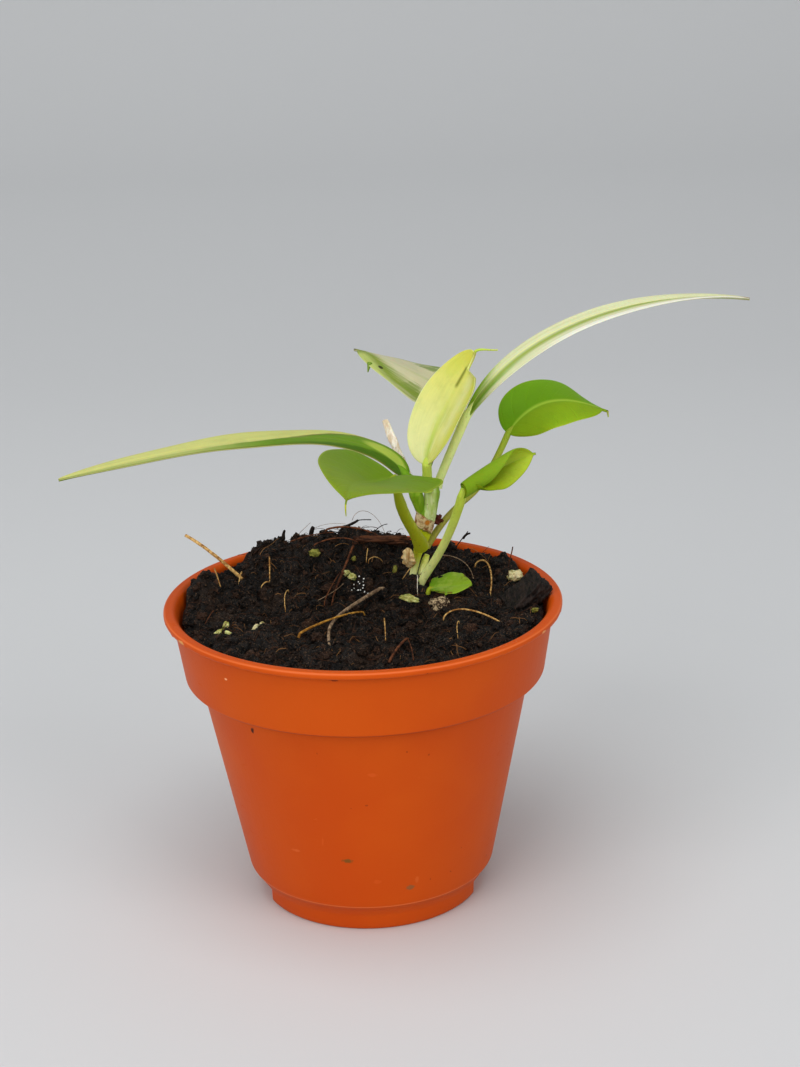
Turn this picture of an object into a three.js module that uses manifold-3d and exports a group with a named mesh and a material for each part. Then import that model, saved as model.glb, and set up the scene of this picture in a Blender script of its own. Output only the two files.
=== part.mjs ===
// A small potted anthurium: plastic nursery pot, peat soil, a short stem and its leaves.
// Millimetres, +Z up, origin at the centre of the pot's underside, seen from -Y.
import * as THREE from 'three';
import { mergeVertices } from 'three/addons/utils/BufferGeometryUtils.js';
import Module from 'manifold-3d';

const wasm = await Module();
wasm.setup();

// Driving dimensions of the pot.
const RIM_R = 37.5;
const POT_H = 58.4;
const WALL = 1;
const LIP_H = 1.3;
const STEP_Z = 44.8;
const STEP_OUT_R = 34.1;
const BODY_TOP_R = 31.4;
const COVE_Z = 5.9;
const COVE_R = 23.8;
const BASE_R = 21.3;
const FLAT_X = 19.4;
const FLAT_TOP = 4.55;
const FLOOR_T = 1.3;
const DRAIN_HOLES = 6;
const DRAIN_R = 2.4;
const DRAIN_RING_R = 13.5;

// Clearance between pieces that touch.
const GAP = 0.3;

// Leaf blades are this thick.
const BLADE_T = 0.6;

// Level of the soil and the heaps on it: centre, spread along X and Y, height.
const SOIL_Z = 56;
const SOIL_SLOPE = 0.03;
const HEAPS = [
  { x: -9, y: 23, sx: 14, sy: 6.5, h: 7 },
  { x: 2, y: 23, sx: 6, sy: 3.5, h: 1.6 },
  { x: -29.5, y: 9, sx: 3.6, sy: 3.6, h: 4.2 },
  { x: 28, y: 17, sx: 2.8, sy: 2.8, h: 3.4 },
  { x: 22.5, y: 21, sx: 3.5, sy: 3, h: 2.2 },
  { x: 11, y: 9.5, sx: 4, sy: 4, h: 1.2 },
];
const CLOD_H = 0.9;
const CLOD_SIZE = 4.6;
const CRUMB_H = 0.45;
const CRUMB_SIZE = 2.3;

// The stem: a Bezier path from its foot in the soil to the crown, and its radii along it.
const STEM_PATH = [[9.2, 10.5, 46], [8.2, 10.5, 57], [12.9, 10.5, 66], [13, 10.5, 76]];
const STEM_RADII = [
  [0, 0.95], [0.46, 0.9], [0.56, 1], [0.64, 1.5], [0.72, 2], [0.79, 2.2], [0.86, 2.1], [1, 2.6],
];

// Each leaf: the petiole's Bezier path and radii, then the blade. The rib is a Bezier path from the
// petiole to the tip. face is where the upper surface looks at the base and the tip, half the half-width
// left and right of the rib, rise and taper the exponents of the outline, fold and curl the angles in
// degrees of each half at base and tip, lobe how far each half reaches back at the base, thread the path
// of a thin tail at the tip.
const LEAVES = {
  leaf_strap_left: {
    color: 0x9fa84e, from: [[11, 10.4, 76.4], [10.9, 9.9, 77.6], [9.9, 9, 78.7]],
    radii: [[0, 1.15], [1, 1]],
    rib: [[9.1, 8.3, 79.4], [1.3, 10, 90], [-26.2, -1, 91.7], [-54.3, -6, 85.4]],
    face: [[-0.36, -0.47, 0.8], [0.07, -0.01, 1]], half: [2.9, 4.8], rise: 0.56, taper: 0.7,
    fold: [[4, 12], [-15, -4]], curl: [[-4, 5], [-18, 3]],
  },
  leaf_strap_right: {
    color: 0xd6d7b7, from: [[14.8, 11.4, 76.4], [15.7, 11.9, 78.4], [17.8, 13.8, 82.5]],
    radii: [[0, 1.15], [0.3, 1], [1, 0.9]],
    rib: [[20.9, 15.8, 88.7], [28.8, 19, 104.2], [52.5, 21.8, 111.6], [76.9, 26, 107.7]],
    face: [[-0.65, -0.66, 0.38], [0.05, -0.28, 0.96]], half: [1.3, 3.6], rise: 0.64, taper: 0.65,
    fold: [[7, 15], [2, 32]], curl: [[0, 0], [0, 0]],
  },
  leaf_young: {
    color: 0xe1e08f, from: [[13.1, 8.8, 76.4], [12.9, 8.8, 77.8], [13, 8.3, 79.8]],
    radii: [[0, 1], [1, 0.9]],
    rib: [[12.9, 7.5, 81.9], [13.2, 9.4, 88.3], [22.3, 17.7, 98.2], [22.7, 13.4, 102]],
    face: [[-0.45, -0.89, 0.11], [-0.58, -0.37, 0.73]], half: [7.1, 8.7], rise: 0.64, taper: 0.69,
    fold: [[-17, 0], [26, -15]], curl: [[8, 10], [32, 74]], drip: 0.05,
    thread: [[23.6, 13.1, 102.8], [25, 12.6, 102.3], [26.9, 12, 102.5]],
  },
  leaf_back: {
    color: 0xb9bd96, from: [[12.4, 12.8, 76.4], [13.2, 15.4, 79.7], [16, 20.4, 85.2]],
    radii: [[0, 0.65], [1, 0.75]],
    rib: [[20.8, 22.7, 90.6], [14, 26.7, 93.4], [5.4, 29.5, 98.3], [0, 36, 97.9]],
    face: [[0.16, -0.43, 0.89], [-0.33, 0.13, 0.94]], half: [6.8, 7.7], rise: 0.3, taper: 0.76,
    fold: [[-9, 6], [-2, -30]], curl: [[0, 0], [0, 0]], lobe: [0.2, 1], lobeEnd: 0.24, drip: 0.05,
  },
  leaf_front: {
    color: 0x758f32, from: [[11.6, 9.3, 65], [10.2, 5.9, 70.2], [7.6, 1.9, 72.8]],
    radii: [[0, 1.35], [0.3, 0.9], [1, 0.95]],
    rib: [[6.6, -1.6, 82.5], [-0.2, -9.6, 82.2], [-1.3, -17.5, 88.5], [-2.4, -28, 85.8]],
    face: [[0.31, -0.15, 0.94], [0.19, -0.55, 0.81]], half: [11.6, 10], rise: 0.36, taper: 0.94,
    fold: [[38, 3], [17, 2]], curl: [[-15, 2], [-15, -4]], lobe: [3.4, 0.9], lobeEnd: 0.3, drip: 0.06,
  },
  leaf_right: {
    color: 0x739a0b, from: [[12.6, 11.7, 64], [20.5, 16.5, 75.5], [21.8, 16.9, 68.1]],
    radii: [[0, 0.8], [1, 0.65]],
    rib: [[29.4, 21.6, 83.5], [36.3, 23.2, 93.3], [45.2, 21.6, 88.6], [48.9, 21.8, 87.3]],
    face: [[-0.01, -0.48, 0.88], [0.06, -0.12, 0.99]], half: [9, 7.6], rise: 0.6, taper: 0.76,
    fold: [[9, -20], [1, -1]], curl: [[-5, -14], [-7, -8]], lobe: [0.5, 0.2], lobeEnd: 0.27, drip: 0.08,
  },
  leaf_curled: {
    color: 0x809727, from: [[11.2, 7.6, 54.5], [9.8, 9.9, 59.7], [14.9, 4.2, 60.8]],
    radii: [[0, 0.8], [0.8, 0.8], [1, 1]],
    rib: [[19.3, 0.1, 78.6], [20.8, 4.4, 78.5], [29.9, 9.5, 82.1], [33.5, 8.2, 83.1]],
    face: [[-0.6, -0.57, 0.56], [0.01, -0.99, 0.16]], half: [5.9, 3.7], rise: 0.39, taper: 0.76,
    fold: [[63, -19], [4, 32]], curl: [[297, 48], [9, -11]], lobe: [2.7, 0.8], lobeEnd: 0.25, drip: 0.04,
    halfSteps: 8,
  },
  leaf_low: {
    color: 0x649628, from: [[12.9, 3.9, 52], [12.6, 4.2, 54], [11.9, 4.8, 57]],
    radii: [[0, 0.5], [1, 0.5]],
    rib: [[12.9, 5.3, 57.8], [17.4, 6, 58.2], [16.6, 4.9, 58], [20.8, 3.7, 59.1]],
    face: [[-0.05, -0.28, 0.96], [-0.06, -0.42, 0.9]], half: [4.1, 3.4], rise: 0.5, taper: 0.68,
    fold: [[-4, 0], [18, 6]], curl: [[0, 0], [3, 8]], lobe: [0.5, 0.1], lobeEnd: 0.25,
  },
  dried_stub: {
    color: 0xd8cdb4, rib: [[10.9, 12.3, 76.3], [9.6, 13.2, 79], [7.4, 14.6, 83.6], [5.3, 15.8, 88.9]],
    face: [[-0.3, -0.95, 0], [-0.2, -0.95, 0.2]], half: [0.8, 0.8], rise: 0.4, taper: 0.2,
    fold: [[0, 10], [0, 10]], curl: [[-30, -50], [-30, -50]],
  },
  base_scale: {
    color: 0xc9b389, rib: [[9.5, 9.6, 59.8], [8.2, 8, 61.5], [8, 7.9, 63.5], [8.9, 7.9, 65.3]],
    face: [[-0.4, -0.9, 0.2], [-0.4, -0.9, 0.2]], half: [0.8, 0.9], rise: 0.3, taper: 0.5,
    fold: [[-5, 10], [-5, 10]], curl: [[-30, -20], [-30, -20]],
  },
};

// Straws and fibres: points across the soil as x, y and the height of the centre line over the soil.
const STRAWS = {
  straw_left: {
    color: 0xc08a4a, r: [0.5, 0.38],
    pts: [[-23.4, 14.4, -0.6], [-26.8, 17, 1.6], [-31, 20, 4.8], [-34.6, 22, 6.8]],
  },
  straw_front: {
    color: 0xb58a3c, r: [0.35, 0.3],
    pts: [[-12, -13.3, 0.2], [-8, -10.6, 1.4], [-4, -7, 1.7], [0.2, -3.9, 0.5]],
  },
  straw_middle: {
    color: 0x7d6a50, r: [0.4, 0.35],
    pts: [[-6.2, -19.8, 0.1], [-7, -8.1, 0.1], [-7, -8.1, 0.6], [4, 7.8, 0.5]],
  },
  fibre_right: {
    color: 0xb79a66, r: [0.3, 0.3],
    pts: [[22.2, 16.3, 0.1], [25.4, 17.4, 1.4], [25.6, 9, 0.6], [24.3, 4.2, 0]],
  },
  fibre_front: {
    color: 0xb07a3c, r: [0.3, 0.3],
    pts: [[14.6, -6.2, -0.2], [16.5, -1.6, 1.2], [21, -5, 0.8], [25, -10.7, 0.1]],
  },
  strand_red: {
    color: 0x7c3a22, r: [0.35, 0.3],
    pts: [[-1.8, 18.3, 0.1], [-1.8, 13, 0.7], [-4.6, 9, 0.5], [-5.4, 4.1, 0]],
  },
};

// Bark pieces and crumbs: centre, half sizes, turn about X, Y and Z in degrees.
const CHUNKS = {
  bark_chunk: {
    color: 0x201812, at: [30.7, 0.4, 57.7], size: [4.9, 3.4, 1.9],
    turn: [8, -42, 14], rough: 0.22,
  },
  bark_chip: {
    color: 0x4a2d1e, at: [4, 21.2, 62.6], size: [5.4, 1.7, 1],
    turn: [-24, 4, 8], rough: 0.16,
  },
  crumb_beige: {
    color: 0x9a8468, at: [15.9, -0.5, 56.1], size: [1.8, 1.3, 1.2],
    turn: [10, 0, 20], rough: 0.18,
  },
  crumb_cream: {
    color: 0xcfc39a, at: [29.8, 11.4, 57.6], size: [1.5, 1.1, 1],
    turn: [0, 10, 30], rough: 0.15,
  },
};

const BLADE_STEPS = 13;
const HALF_STEPS = 3;
const THREAD_R = 0.3;
const STEM_SIDES = 10;
const PETIOLE_SIDES = 8;
const STRAW_SIDES = 6;
const POT_SIDES = 48;
const SOIL_SIDES = 52;
const SOIL_RINGS = 13;

const radians = THREE.MathUtils.degToRad;
const mix = THREE.MathUtils.lerp;

function vec(list) {
  return new THREE.Vector3(...list);
}

function bezier(points) {
  return new THREE.CubicBezierCurve3(...points.map(vec));
}

// A value that follows [place, value] pairs by straight lines.
function along(pairs, t) {
  const next = pairs.findIndex(([place]) => place >= t);
  if (next <= 0) return pairs[Math.max(next, 0)][1];
  const [t0, v0] = pairs[next - 1];
  const [t1, v1] = pairs[next];
  return mix(v0, v1, (t - t0) / (t1 - t0));
}

// Repeatable value noise in -1..1 over the XY plane.
function hash(i, j) {
  const value = Math.sin(i * 127.1 + j * 311.7) * 43758.5453;
  return value - Math.floor(value);
}

function noise(x, y) {
  const i = Math.floor(x);
  const j = Math.floor(y);
  const u = (x - i) ** 2 * (3 - 2 * (x - i));
  const v = (y - j) ** 2 * (3 - 2 * (y - j));
  const low = mix(hash(i, j), hash(i + 1, j), u);
  const high = mix(hash(i, j + 1), hash(i + 1, j + 1), u);
  return 2 * mix(low, high, v) - 1;
}

// Height of the soil without and with its clods.
function soilLevel(x, y) {
  let z = SOIL_Z + SOIL_SLOPE * y;
  for (const heap of HEAPS) {
    const dx = (x - heap.x) / heap.sx;
    const dy = (y - heap.y) / heap.sy;
    z += heap.h * Math.exp(-0.5 * (dx * dx + dy * dy));
  }
  return z;
}

function soilHeight(x, y) {
  const clods = CLOD_H * noise(x / CLOD_SIZE, y / CLOD_SIZE);
  const crumbs = CRUMB_H * noise(x / CRUMB_SIZE + 40, y / CRUMB_SIZE);
  return soilLevel(x, y) + clods + crumbs;
}

// A closed skin over rings of the same number of points, fanned shut at both ends. The back half of each
// ring is split along the other diagonal, so that the two faces of a blade have the same triangles.
function loft(rings) {
  const sides = rings[0].length;
  const points = rings.flat();
  const index = [];
  for (let i = 0; i < rings.length - 1; i++) {
    for (let k = 0; k < sides; k++) {
      const a = i * sides + k;
      const b = i * sides + ((k + 1) % sides);
      const c = b + sides;
      const d = a + sides;
      if (k < sides / 2) index.push(a, b, c, a, c, d);
      else index.push(a, b, d, b, c, d);
    }
  }
  for (const [ring, flip] of [[0, true], [rings.length - 1, false]]) {
    const centre = new THREE.Vector3();
    rings[ring].forEach((p) => centre.addScaledVector(p, 1 / sides));
    points.push(centre);
    for (let k = 0; k < sides; k++) {
      const a = ring * sides + k;
      const b = ring * sides + ((k + 1) % sides);
      if (flip) index.push(b, a, points.length - 1);
      else index.push(a, b, points.length - 1);
    }
  }
  const geometry = new THREE.BufferGeometry().setFromPoints(points);
  geometry.setIndex(index);
  return geometry;
}

// A solid for joining and cutting, turned right side out.
function solid(source) {
  let geometry = source.clone();
  geometry.deleteAttribute('normal');
  geometry.deleteAttribute('uv');
  geometry = mergeVertices(geometry, 1e-4);
  const vertProperties = new Float32Array(geometry.attributes.position.array);
  const triVerts = new Uint32Array(geometry.index.array);
  const body = new wasm.Manifold(new wasm.Mesh({ numProp: 3, vertProperties, triVerts }));
  if (body.volume() > 0) return body;
  for (let i = 0; i < triVerts.length; i += 3) {
    [triVerts[i], triVerts[i + 1]] = [triVerts[i + 1], triVerts[i]];
  }
  return new wasm.Manifold(new wasm.Mesh({ numProp: 3, vertProperties, triVerts }));
}

function geometryOf(body) {
  const mesh = body.asOriginal().simplify(0.02).getMesh();
  const geometry = new THREE.BufferGeometry();
  geometry.setAttribute('position', new THREE.BufferAttribute(Float32Array.from(mesh.vertProperties), 3));
  geometry.setIndex(new THREE.BufferAttribute(Uint32Array.from(mesh.triVerts), 1));
  geometry.computeVertexNormals();
  return geometry;
}

// The largest of the bodies that a cut leaves.
function largest(body) {
  return body.decompose().reduce((best, next) => (next.volume() > best.volume() ? next : best));
}

// A round rod along a curve, its radius a function of the place along it.
function rod(curve, radius, sides, steps, grow = 0) {
  const frames = curve.computeFrenetFrames(steps, false);
  const rings = [];
  for (let i = 0; i <= steps; i++) {
    const t = i / steps;
    const centre = curve.getPointAt(t);
    if (i === 0) centre.addScaledVector(frames.tangents[0], -grow);
    if (i === steps) centre.addScaledVector(frames.tangents[steps], grow);
    const ring = [];
    for (let k = 0; k < sides; k++) {
      const angle = (2 * Math.PI * k) / sides;
      const r = radius(t) + grow;
      const point = centre.clone();
      point.addScaledVector(frames.normals[i], r * Math.cos(angle));
      point.addScaledVector(frames.binormals[i], r * Math.sin(angle));
      ring.push(point);
    }
    rings.push(ring);
  }
  return solid(loft(rings));
}

// Half-width of a blade along its rib, as a share of its greatest half-width.
function outline(leaf, s) {
  const q = Math.min(s / (1 - (leaf.drip ?? 0)), 1);
  const peak = leaf.rise / (leaf.rise + leaf.taper);
  const top = peak ** leaf.rise * (1 - peak) ** leaf.taper;
  return (q ** leaf.rise * (1 - q) ** leaf.taper) / top;
}

// A leaf blade: at each step along the rib both halves leave it at their fold angle and bend by their curl.
function blade(leaf, grow = 0) {
  const rib = bezier(leaf.rib);
  const faces = leaf.face.map((face) => vec(face).normalize());
  const thick = BLADE_T / 2 + grow;
  const halfSteps = leaf.halfSteps ?? HALF_STEPS;
  const rings = [];
  for (let i = 0; i <= BLADE_STEPS; i++) {
    const s = i / BLADE_STEPS;
    const middle = rib.getPoint(s);
    const tangent = rib.getTangent(s);
    const normal = faces[0].clone().lerp(faces[1], s);
    normal.addScaledVector(tangent, -normal.dot(tangent)).normalize();
    const side = new THREE.Vector3().crossVectors(tangent, normal);
    const top = [];
    const bottom = [];
    for (let j = -halfSteps; j <= halfSteps; j++) {
      const hand = j < 0 ? 0 : 1;
      const a = Math.abs(j) / halfSteps;
      const width = leaf.half[hand] * outline(leaf, s) + 0.35 + grow;
      const fold = radians(mix(...leaf.fold[hand], s));
      const curl = radians(mix(...leaf.curl[hand], s)) || 1e-3;
      const out = ((Math.sin(fold + curl * a) - Math.sin(fold)) / curl) * width;
      const up = ((Math.cos(fold) - Math.cos(fold + curl * a)) / curl) * width;
      const lobePlace = Math.min(s / (leaf.lobeEnd ?? 1), 1);
      const reach = (leaf.lobe ?? [0, 0])[hand] * Math.sin(Math.PI * lobePlace) ** 2;
      const sign = hand ? 1 : -1;
      const point = middle.clone();
      point.addScaledVector(side, sign * out).addScaledVector(normal, up);
      point.addScaledVector(tangent, -reach * a * a);
      const lean = j === 0 ? 0 : fold + curl * a;
      const skin = normal.clone().multiplyScalar(Math.cos(lean));
      skin.addScaledVector(side, -sign * Math.sin(lean));
      top.push(point.clone().addScaledVector(skin, thick));
      bottom.push(point.clone().addScaledVector(skin, -thick));
    }
    rings.push([...top, ...bottom.reverse()]);
  }
  return solid(loft(rings));
}

// A whole leaf: blade and petiole grown together.
function leafBody(leaf, grow = 0) {
  const body = blade(leaf, grow);
  if (!leaf.from) return body;
  const path = bezier([...leaf.from, leaf.rib[0]]);
  const petiole = rod(path, (t) => along(leaf.radii, t), PETIOLE_SIDES, 10, grow);
  if (!leaf.thread) return body.add(petiole);
  const thread = rod(bezier([leaf.rib[3], ...leaf.thread]), () => THREAD_R + grow, PETIOLE_SIDES, 6);
  return body.add(petiole).add(thread);
}

// The foot is flat on its left and right side.
function flatten(point, limit) {
  if (point.z < FLAT_TOP) point.x = THREE.MathUtils.clamp(point.x, -limit, limit);
  return point;
}

// The pot: one lathe profile down the outside and back up the inside, with drain holes in the floor.
function potBody() {
  const inner = (r) => r - WALL;
  const outside = [
    [0, 0], [BASE_R, 0], [21.7, 1.2], [22.1, 3.4], [22.7, 4.6], [COVE_R, COVE_Z],
    [BODY_TOP_R, STEP_Z], [STEP_OUT_R - 0.4, STEP_Z], [STEP_OUT_R, STEP_Z + 0.4],
    [RIM_R - 1.6, POT_H - LIP_H], [RIM_R - 0.3, POT_H - LIP_H], [RIM_R, POT_H - LIP_H + 0.35],
    [RIM_R, POT_H - 0.35], [RIM_R - 0.35, POT_H],
  ];
  const inside = [
    [RIM_R - 1.7, POT_H], [RIM_R - 2.3, POT_H - 0.5], [RIM_R - 2.6, POT_H - LIP_H],
    [inner(STEP_OUT_R), STEP_Z + 1], [inner(BODY_TOP_R), STEP_Z + 0.9],
    [inner(BODY_TOP_R) - 0.1, STEP_Z - 0.2],
    [inner(COVE_R), COVE_Z + 0.6], [inner(22.1) - 0.1, 4.2], [inner(BASE_R), FLOOR_T], [0, FLOOR_T],
  ];
  const profile = [...outside, ...inside].map(([r, z]) => new THREE.Vector2(r, z));
  const lathe = new THREE.LatheGeometry(profile, POT_SIDES).rotateX(Math.PI / 2);
  const position = lathe.attributes.position;
  for (let i = 0; i < position.count; i++) {
    const point = new THREE.Vector3().fromBufferAttribute(position, i);
    const outer = Math.hypot(point.x, point.y) > BASE_R - GAP / 2;
    flatten(point, outer ? FLAT_X : FLAT_X - WALL);
    position.setXYZ(i, ...point);
  }
  let pot = solid(lathe);
  for (let k = 0; k < DRAIN_HOLES; k++) {
    const angle = (2 * Math.PI * k) / DRAIN_HOLES;
    const hole = new THREE.CylinderGeometry(DRAIN_R, DRAIN_R, 4, 12).rotateX(Math.PI / 2);
    hole.translate(DRAIN_RING_R * Math.cos(angle), DRAIN_RING_R * Math.sin(angle), FLOOR_T / 2);
    pot = pot.subtract(solid(hole));
  }
  return { pot, inside };
}

// The soil: rings up along the pot's inner wall, then across its rough top to the middle.
function soilBody(inside) {
  const wall = inside.slice(3).reverse();
  const innerRadius = [...wall.slice(1).map(([r, z]) => [z, r - GAP]), [POT_H, RIM_R - 2.6 - GAP]];
  const bottom = wall.slice(1).map(([r, z]) => [r - GAP, z + GAP]);
  const angles = Array.from({ length: SOIL_SIDES }, (_, k) => (2 * Math.PI * k) / SOIL_SIDES);
  const around = (make) => angles.map(make);
  const rings = [];
  for (const share of [0.02, 0.55]) {
    const r = bottom[0][0] * share;
    rings.push(around((q) => vec([r * Math.cos(q), r * Math.sin(q), bottom[0][1]])));
  }
  for (const [r, z] of bottom) {
    rings.push(around((q) => flatten(vec([r * Math.cos(q), r * Math.sin(q), z]), FLAT_X - WALL - GAP)));
  }
  const edge = RIM_R - 3.4;
  for (let i = 0; i < SOIL_RINGS; i++) {
    const share = 1 - i / SOIL_RINGS;
    rings.push(around((q) => {
      const rimZ = Math.min(soilHeight(edge * Math.cos(q), edge * Math.sin(q)) - 0.4, POT_H + 0.4);
      const r = (along(innerRadius, Math.min(rimZ, POT_H)) - 0.2) * share;
      const x = r * Math.cos(q);
      const y = r * Math.sin(q);
      return vec([x, y, i === 0 ? rimZ : soilHeight(x, y)]);
    }));
  }
  rings.push(around((q) => vec([0.4 * Math.cos(q), 0.4 * Math.sin(q), soilHeight(0, 0)])));
  return solid(loft(rings));
}

// A straw or fibre over the soil.
function strawBody(straw, grow = 0) {
  const curve = bezier(straw.pts.map(([x, y, lift]) => [x, y, soilLevel(x, y) + lift]));
  return rod(curve, (t) => mix(...straw.r, t), STRAW_SIDES, 10, grow);
}

// A rough lump with flat faces: a sphere squared off, its points moved by noise.
function chunkBody(chunk, grow = 0) {
  const geometry = new THREE.SphereGeometry(1, 12, 8);
  const position = geometry.attributes.position;
  for (let i = 0; i < position.count; i++) {
    const p = vec([position.getX(i), position.getY(i), position.getZ(i)]);
    const square = Math.max(Math.abs(p.x), Math.abs(p.y), Math.abs(p.z));
    const bump = 1 + chunk.rough * noise(3 * p.x + 2 * p.z + 7, 3 * p.y - 2 * p.z + 5);
    p.multiplyScalar(mix(1, 1 / square, 0.55) * bump);
    const [sx, sy, sz] = chunk.size.map((half) => half + 1.5 * grow);
    position.setXYZ(i, p.x * sx, p.y * sy, p.z * sz);
  }
  const turn = new THREE.Matrix4().makeRotationFromEuler(new THREE.Euler(...chunk.turn.map(radians)));
  geometry.applyMatrix4(turn).translate(...chunk.at);
  return solid(geometry);
}

const group = new THREE.Group();

function addMesh(name, body, color, roughness) {
  const material = new THREE.MeshStandardMaterial({ color, roughness, metalness: 0 });
  const mesh = new THREE.Mesh(geometryOf(body), material);
  mesh.name = name;
  group.add(mesh);
}

// The soil gets a pocket for everything that stands or lies in it.
const { pot, inside } = potBody();
const stemCurve = bezier(STEM_PATH);
const stemRod = (grow) => rod(stemCurve, (t) => along(STEM_RADII, t), STEM_SIDES, 16, grow);
const stem = stemRod(0);
const stemRoom = stemRod(GAP);

addMesh('pot', pot, 0xc44b16, 0.4);
addMesh('stem', stem, 0x7f8a35, 0.5);

const pockets = [stemRoom];
for (const [name, leaf] of Object.entries(LEAVES)) {
  addMesh(name, largest(leafBody(leaf).subtract(stemRoom)), leaf.color, 0.4);
  if (['leaf_curled', 'leaf_low', 'base_scale'].includes(name)) pockets.push(leafBody(leaf, GAP));
}
for (const [name, straw] of Object.entries(STRAWS)) {
  addMesh(name, strawBody(straw), straw.color, 0.8);
  pockets.push(strawBody(straw, GAP));
}
for (const [name, chunk] of Object.entries(CHUNKS)) {
  addMesh(name, chunkBody(chunk), chunk.color, 0.9);
  pockets.push(chunkBody(chunk, GAP));
}
const pocketBody = pockets.reduce((body, pocket) => body.add(pocket));
addMesh('soil', largest(soilBody(inside).subtract(pocketBody)), 0x1b130f, 0.95);

export default group;
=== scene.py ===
"""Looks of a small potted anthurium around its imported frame. Metres, +Z up, seen from -Y."""

import math

import bmesh
import bpy
import numpy as np
from mathutils import Euler, Matrix, Vector, noise


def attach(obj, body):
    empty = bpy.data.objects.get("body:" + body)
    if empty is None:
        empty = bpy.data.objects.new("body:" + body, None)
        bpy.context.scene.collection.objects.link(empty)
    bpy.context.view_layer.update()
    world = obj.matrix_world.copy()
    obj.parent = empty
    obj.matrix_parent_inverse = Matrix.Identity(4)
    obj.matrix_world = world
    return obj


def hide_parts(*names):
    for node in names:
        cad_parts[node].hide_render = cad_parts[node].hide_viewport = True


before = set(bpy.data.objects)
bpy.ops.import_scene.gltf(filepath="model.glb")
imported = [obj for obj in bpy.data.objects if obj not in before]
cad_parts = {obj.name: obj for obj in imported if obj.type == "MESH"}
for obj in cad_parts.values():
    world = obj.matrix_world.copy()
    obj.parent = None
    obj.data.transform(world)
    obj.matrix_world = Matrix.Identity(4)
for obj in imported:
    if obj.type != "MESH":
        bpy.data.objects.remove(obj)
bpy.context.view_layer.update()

MM = 0.001


# Pot. A thin nursery pot of terracotta-coloured polypropylene, injection moulded in one shot: a flared
# collar over a tapered body, a beaded lip with a little flash on its edge, a coved foot and drain holes.
POT_OUTSIDE = [
    (0, 0.5), (9, 0.5), (9.3, 0), (21.3, 0), (21.7, 1.2), (22.1, 3.4), (22.7, 4.6), (23.8, 5.9), (31.4, 44.8),
    (33.7, 44.8), (34.1, 45.2), (35.9, 57.1), (37.2, 57.1), (37.5, 57.45), (37.5, 58.05), (37.15, 58.4),
]
POT_INSIDE = [
    (35.8, 58.4), (35.2, 57.9), (34.9, 57.1), (33.1, 45.8), (30.4, 45.7), (30.3, 44.6), (22.8, 6.5),
    (21, 4.2), (20.3, 1.3), (0, 1.3),
]
POT_SIDES = 256
CORNER_R = 0.45
DRAIN_HOLES = 6
DRAIN_R = 2.4
DRAIN_RING_R = 13.5
DRAIN_SIDES = 28
FLOOR_T = 1.3
FLOOR_R = 21
FLAT_X = 19.4
FLAT_TOP = 4.6
STEP_Z = 5.9
COLLAR_Z = 44.9
UNDER_LIP_Z = 57
BRINK_Z = 58.2
RIM_Z = 58.4
FLASH_Z = 57.3
FLASH_SHARE = 0.004
TORN_AT = (-32.9, -16, 57.3)


def colour(red, green, blue):
    """The linear colour of an sRGB one, 0 to 255."""
    shares = (max(c, 1) / 255 for c in (red, green, blue))
    return tuple(c / 12.92 if c <= 0.04 else ((c + 0.055) / 1.055) ** 2.4 for c in shares) + (1.0,)


class Value:
    """A number in a node tree. Arithmetic on it adds Math nodes to the tree."""

    def __init__(self, nodes, socket):
        self.nodes = nodes
        self.socket = socket

    def __add__(self, other):
        return self.nodes.maths("ADD", self, other)

    def __sub__(self, other):
        return self.nodes.maths("SUBTRACT", self, other)

    def __mul__(self, other):
        return self.nodes.maths("MULTIPLY", self, other)

    def __truediv__(self, other):
        return self.nodes.maths("DIVIDE", self, other)

    def __pow__(self, other):
        return self.nodes.maths("POWER", self, other)

    def __neg__(self):
        return self.nodes.maths("MULTIPLY", self, -1.0)

    def __rsub__(self, other):
        return self.nodes.maths("SUBTRACT", other, self)

    def __rtruediv__(self, other):
        return self.nodes.maths("DIVIDE", other, self)

    __radd__ = __add__
    __rmul__ = __mul__


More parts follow.
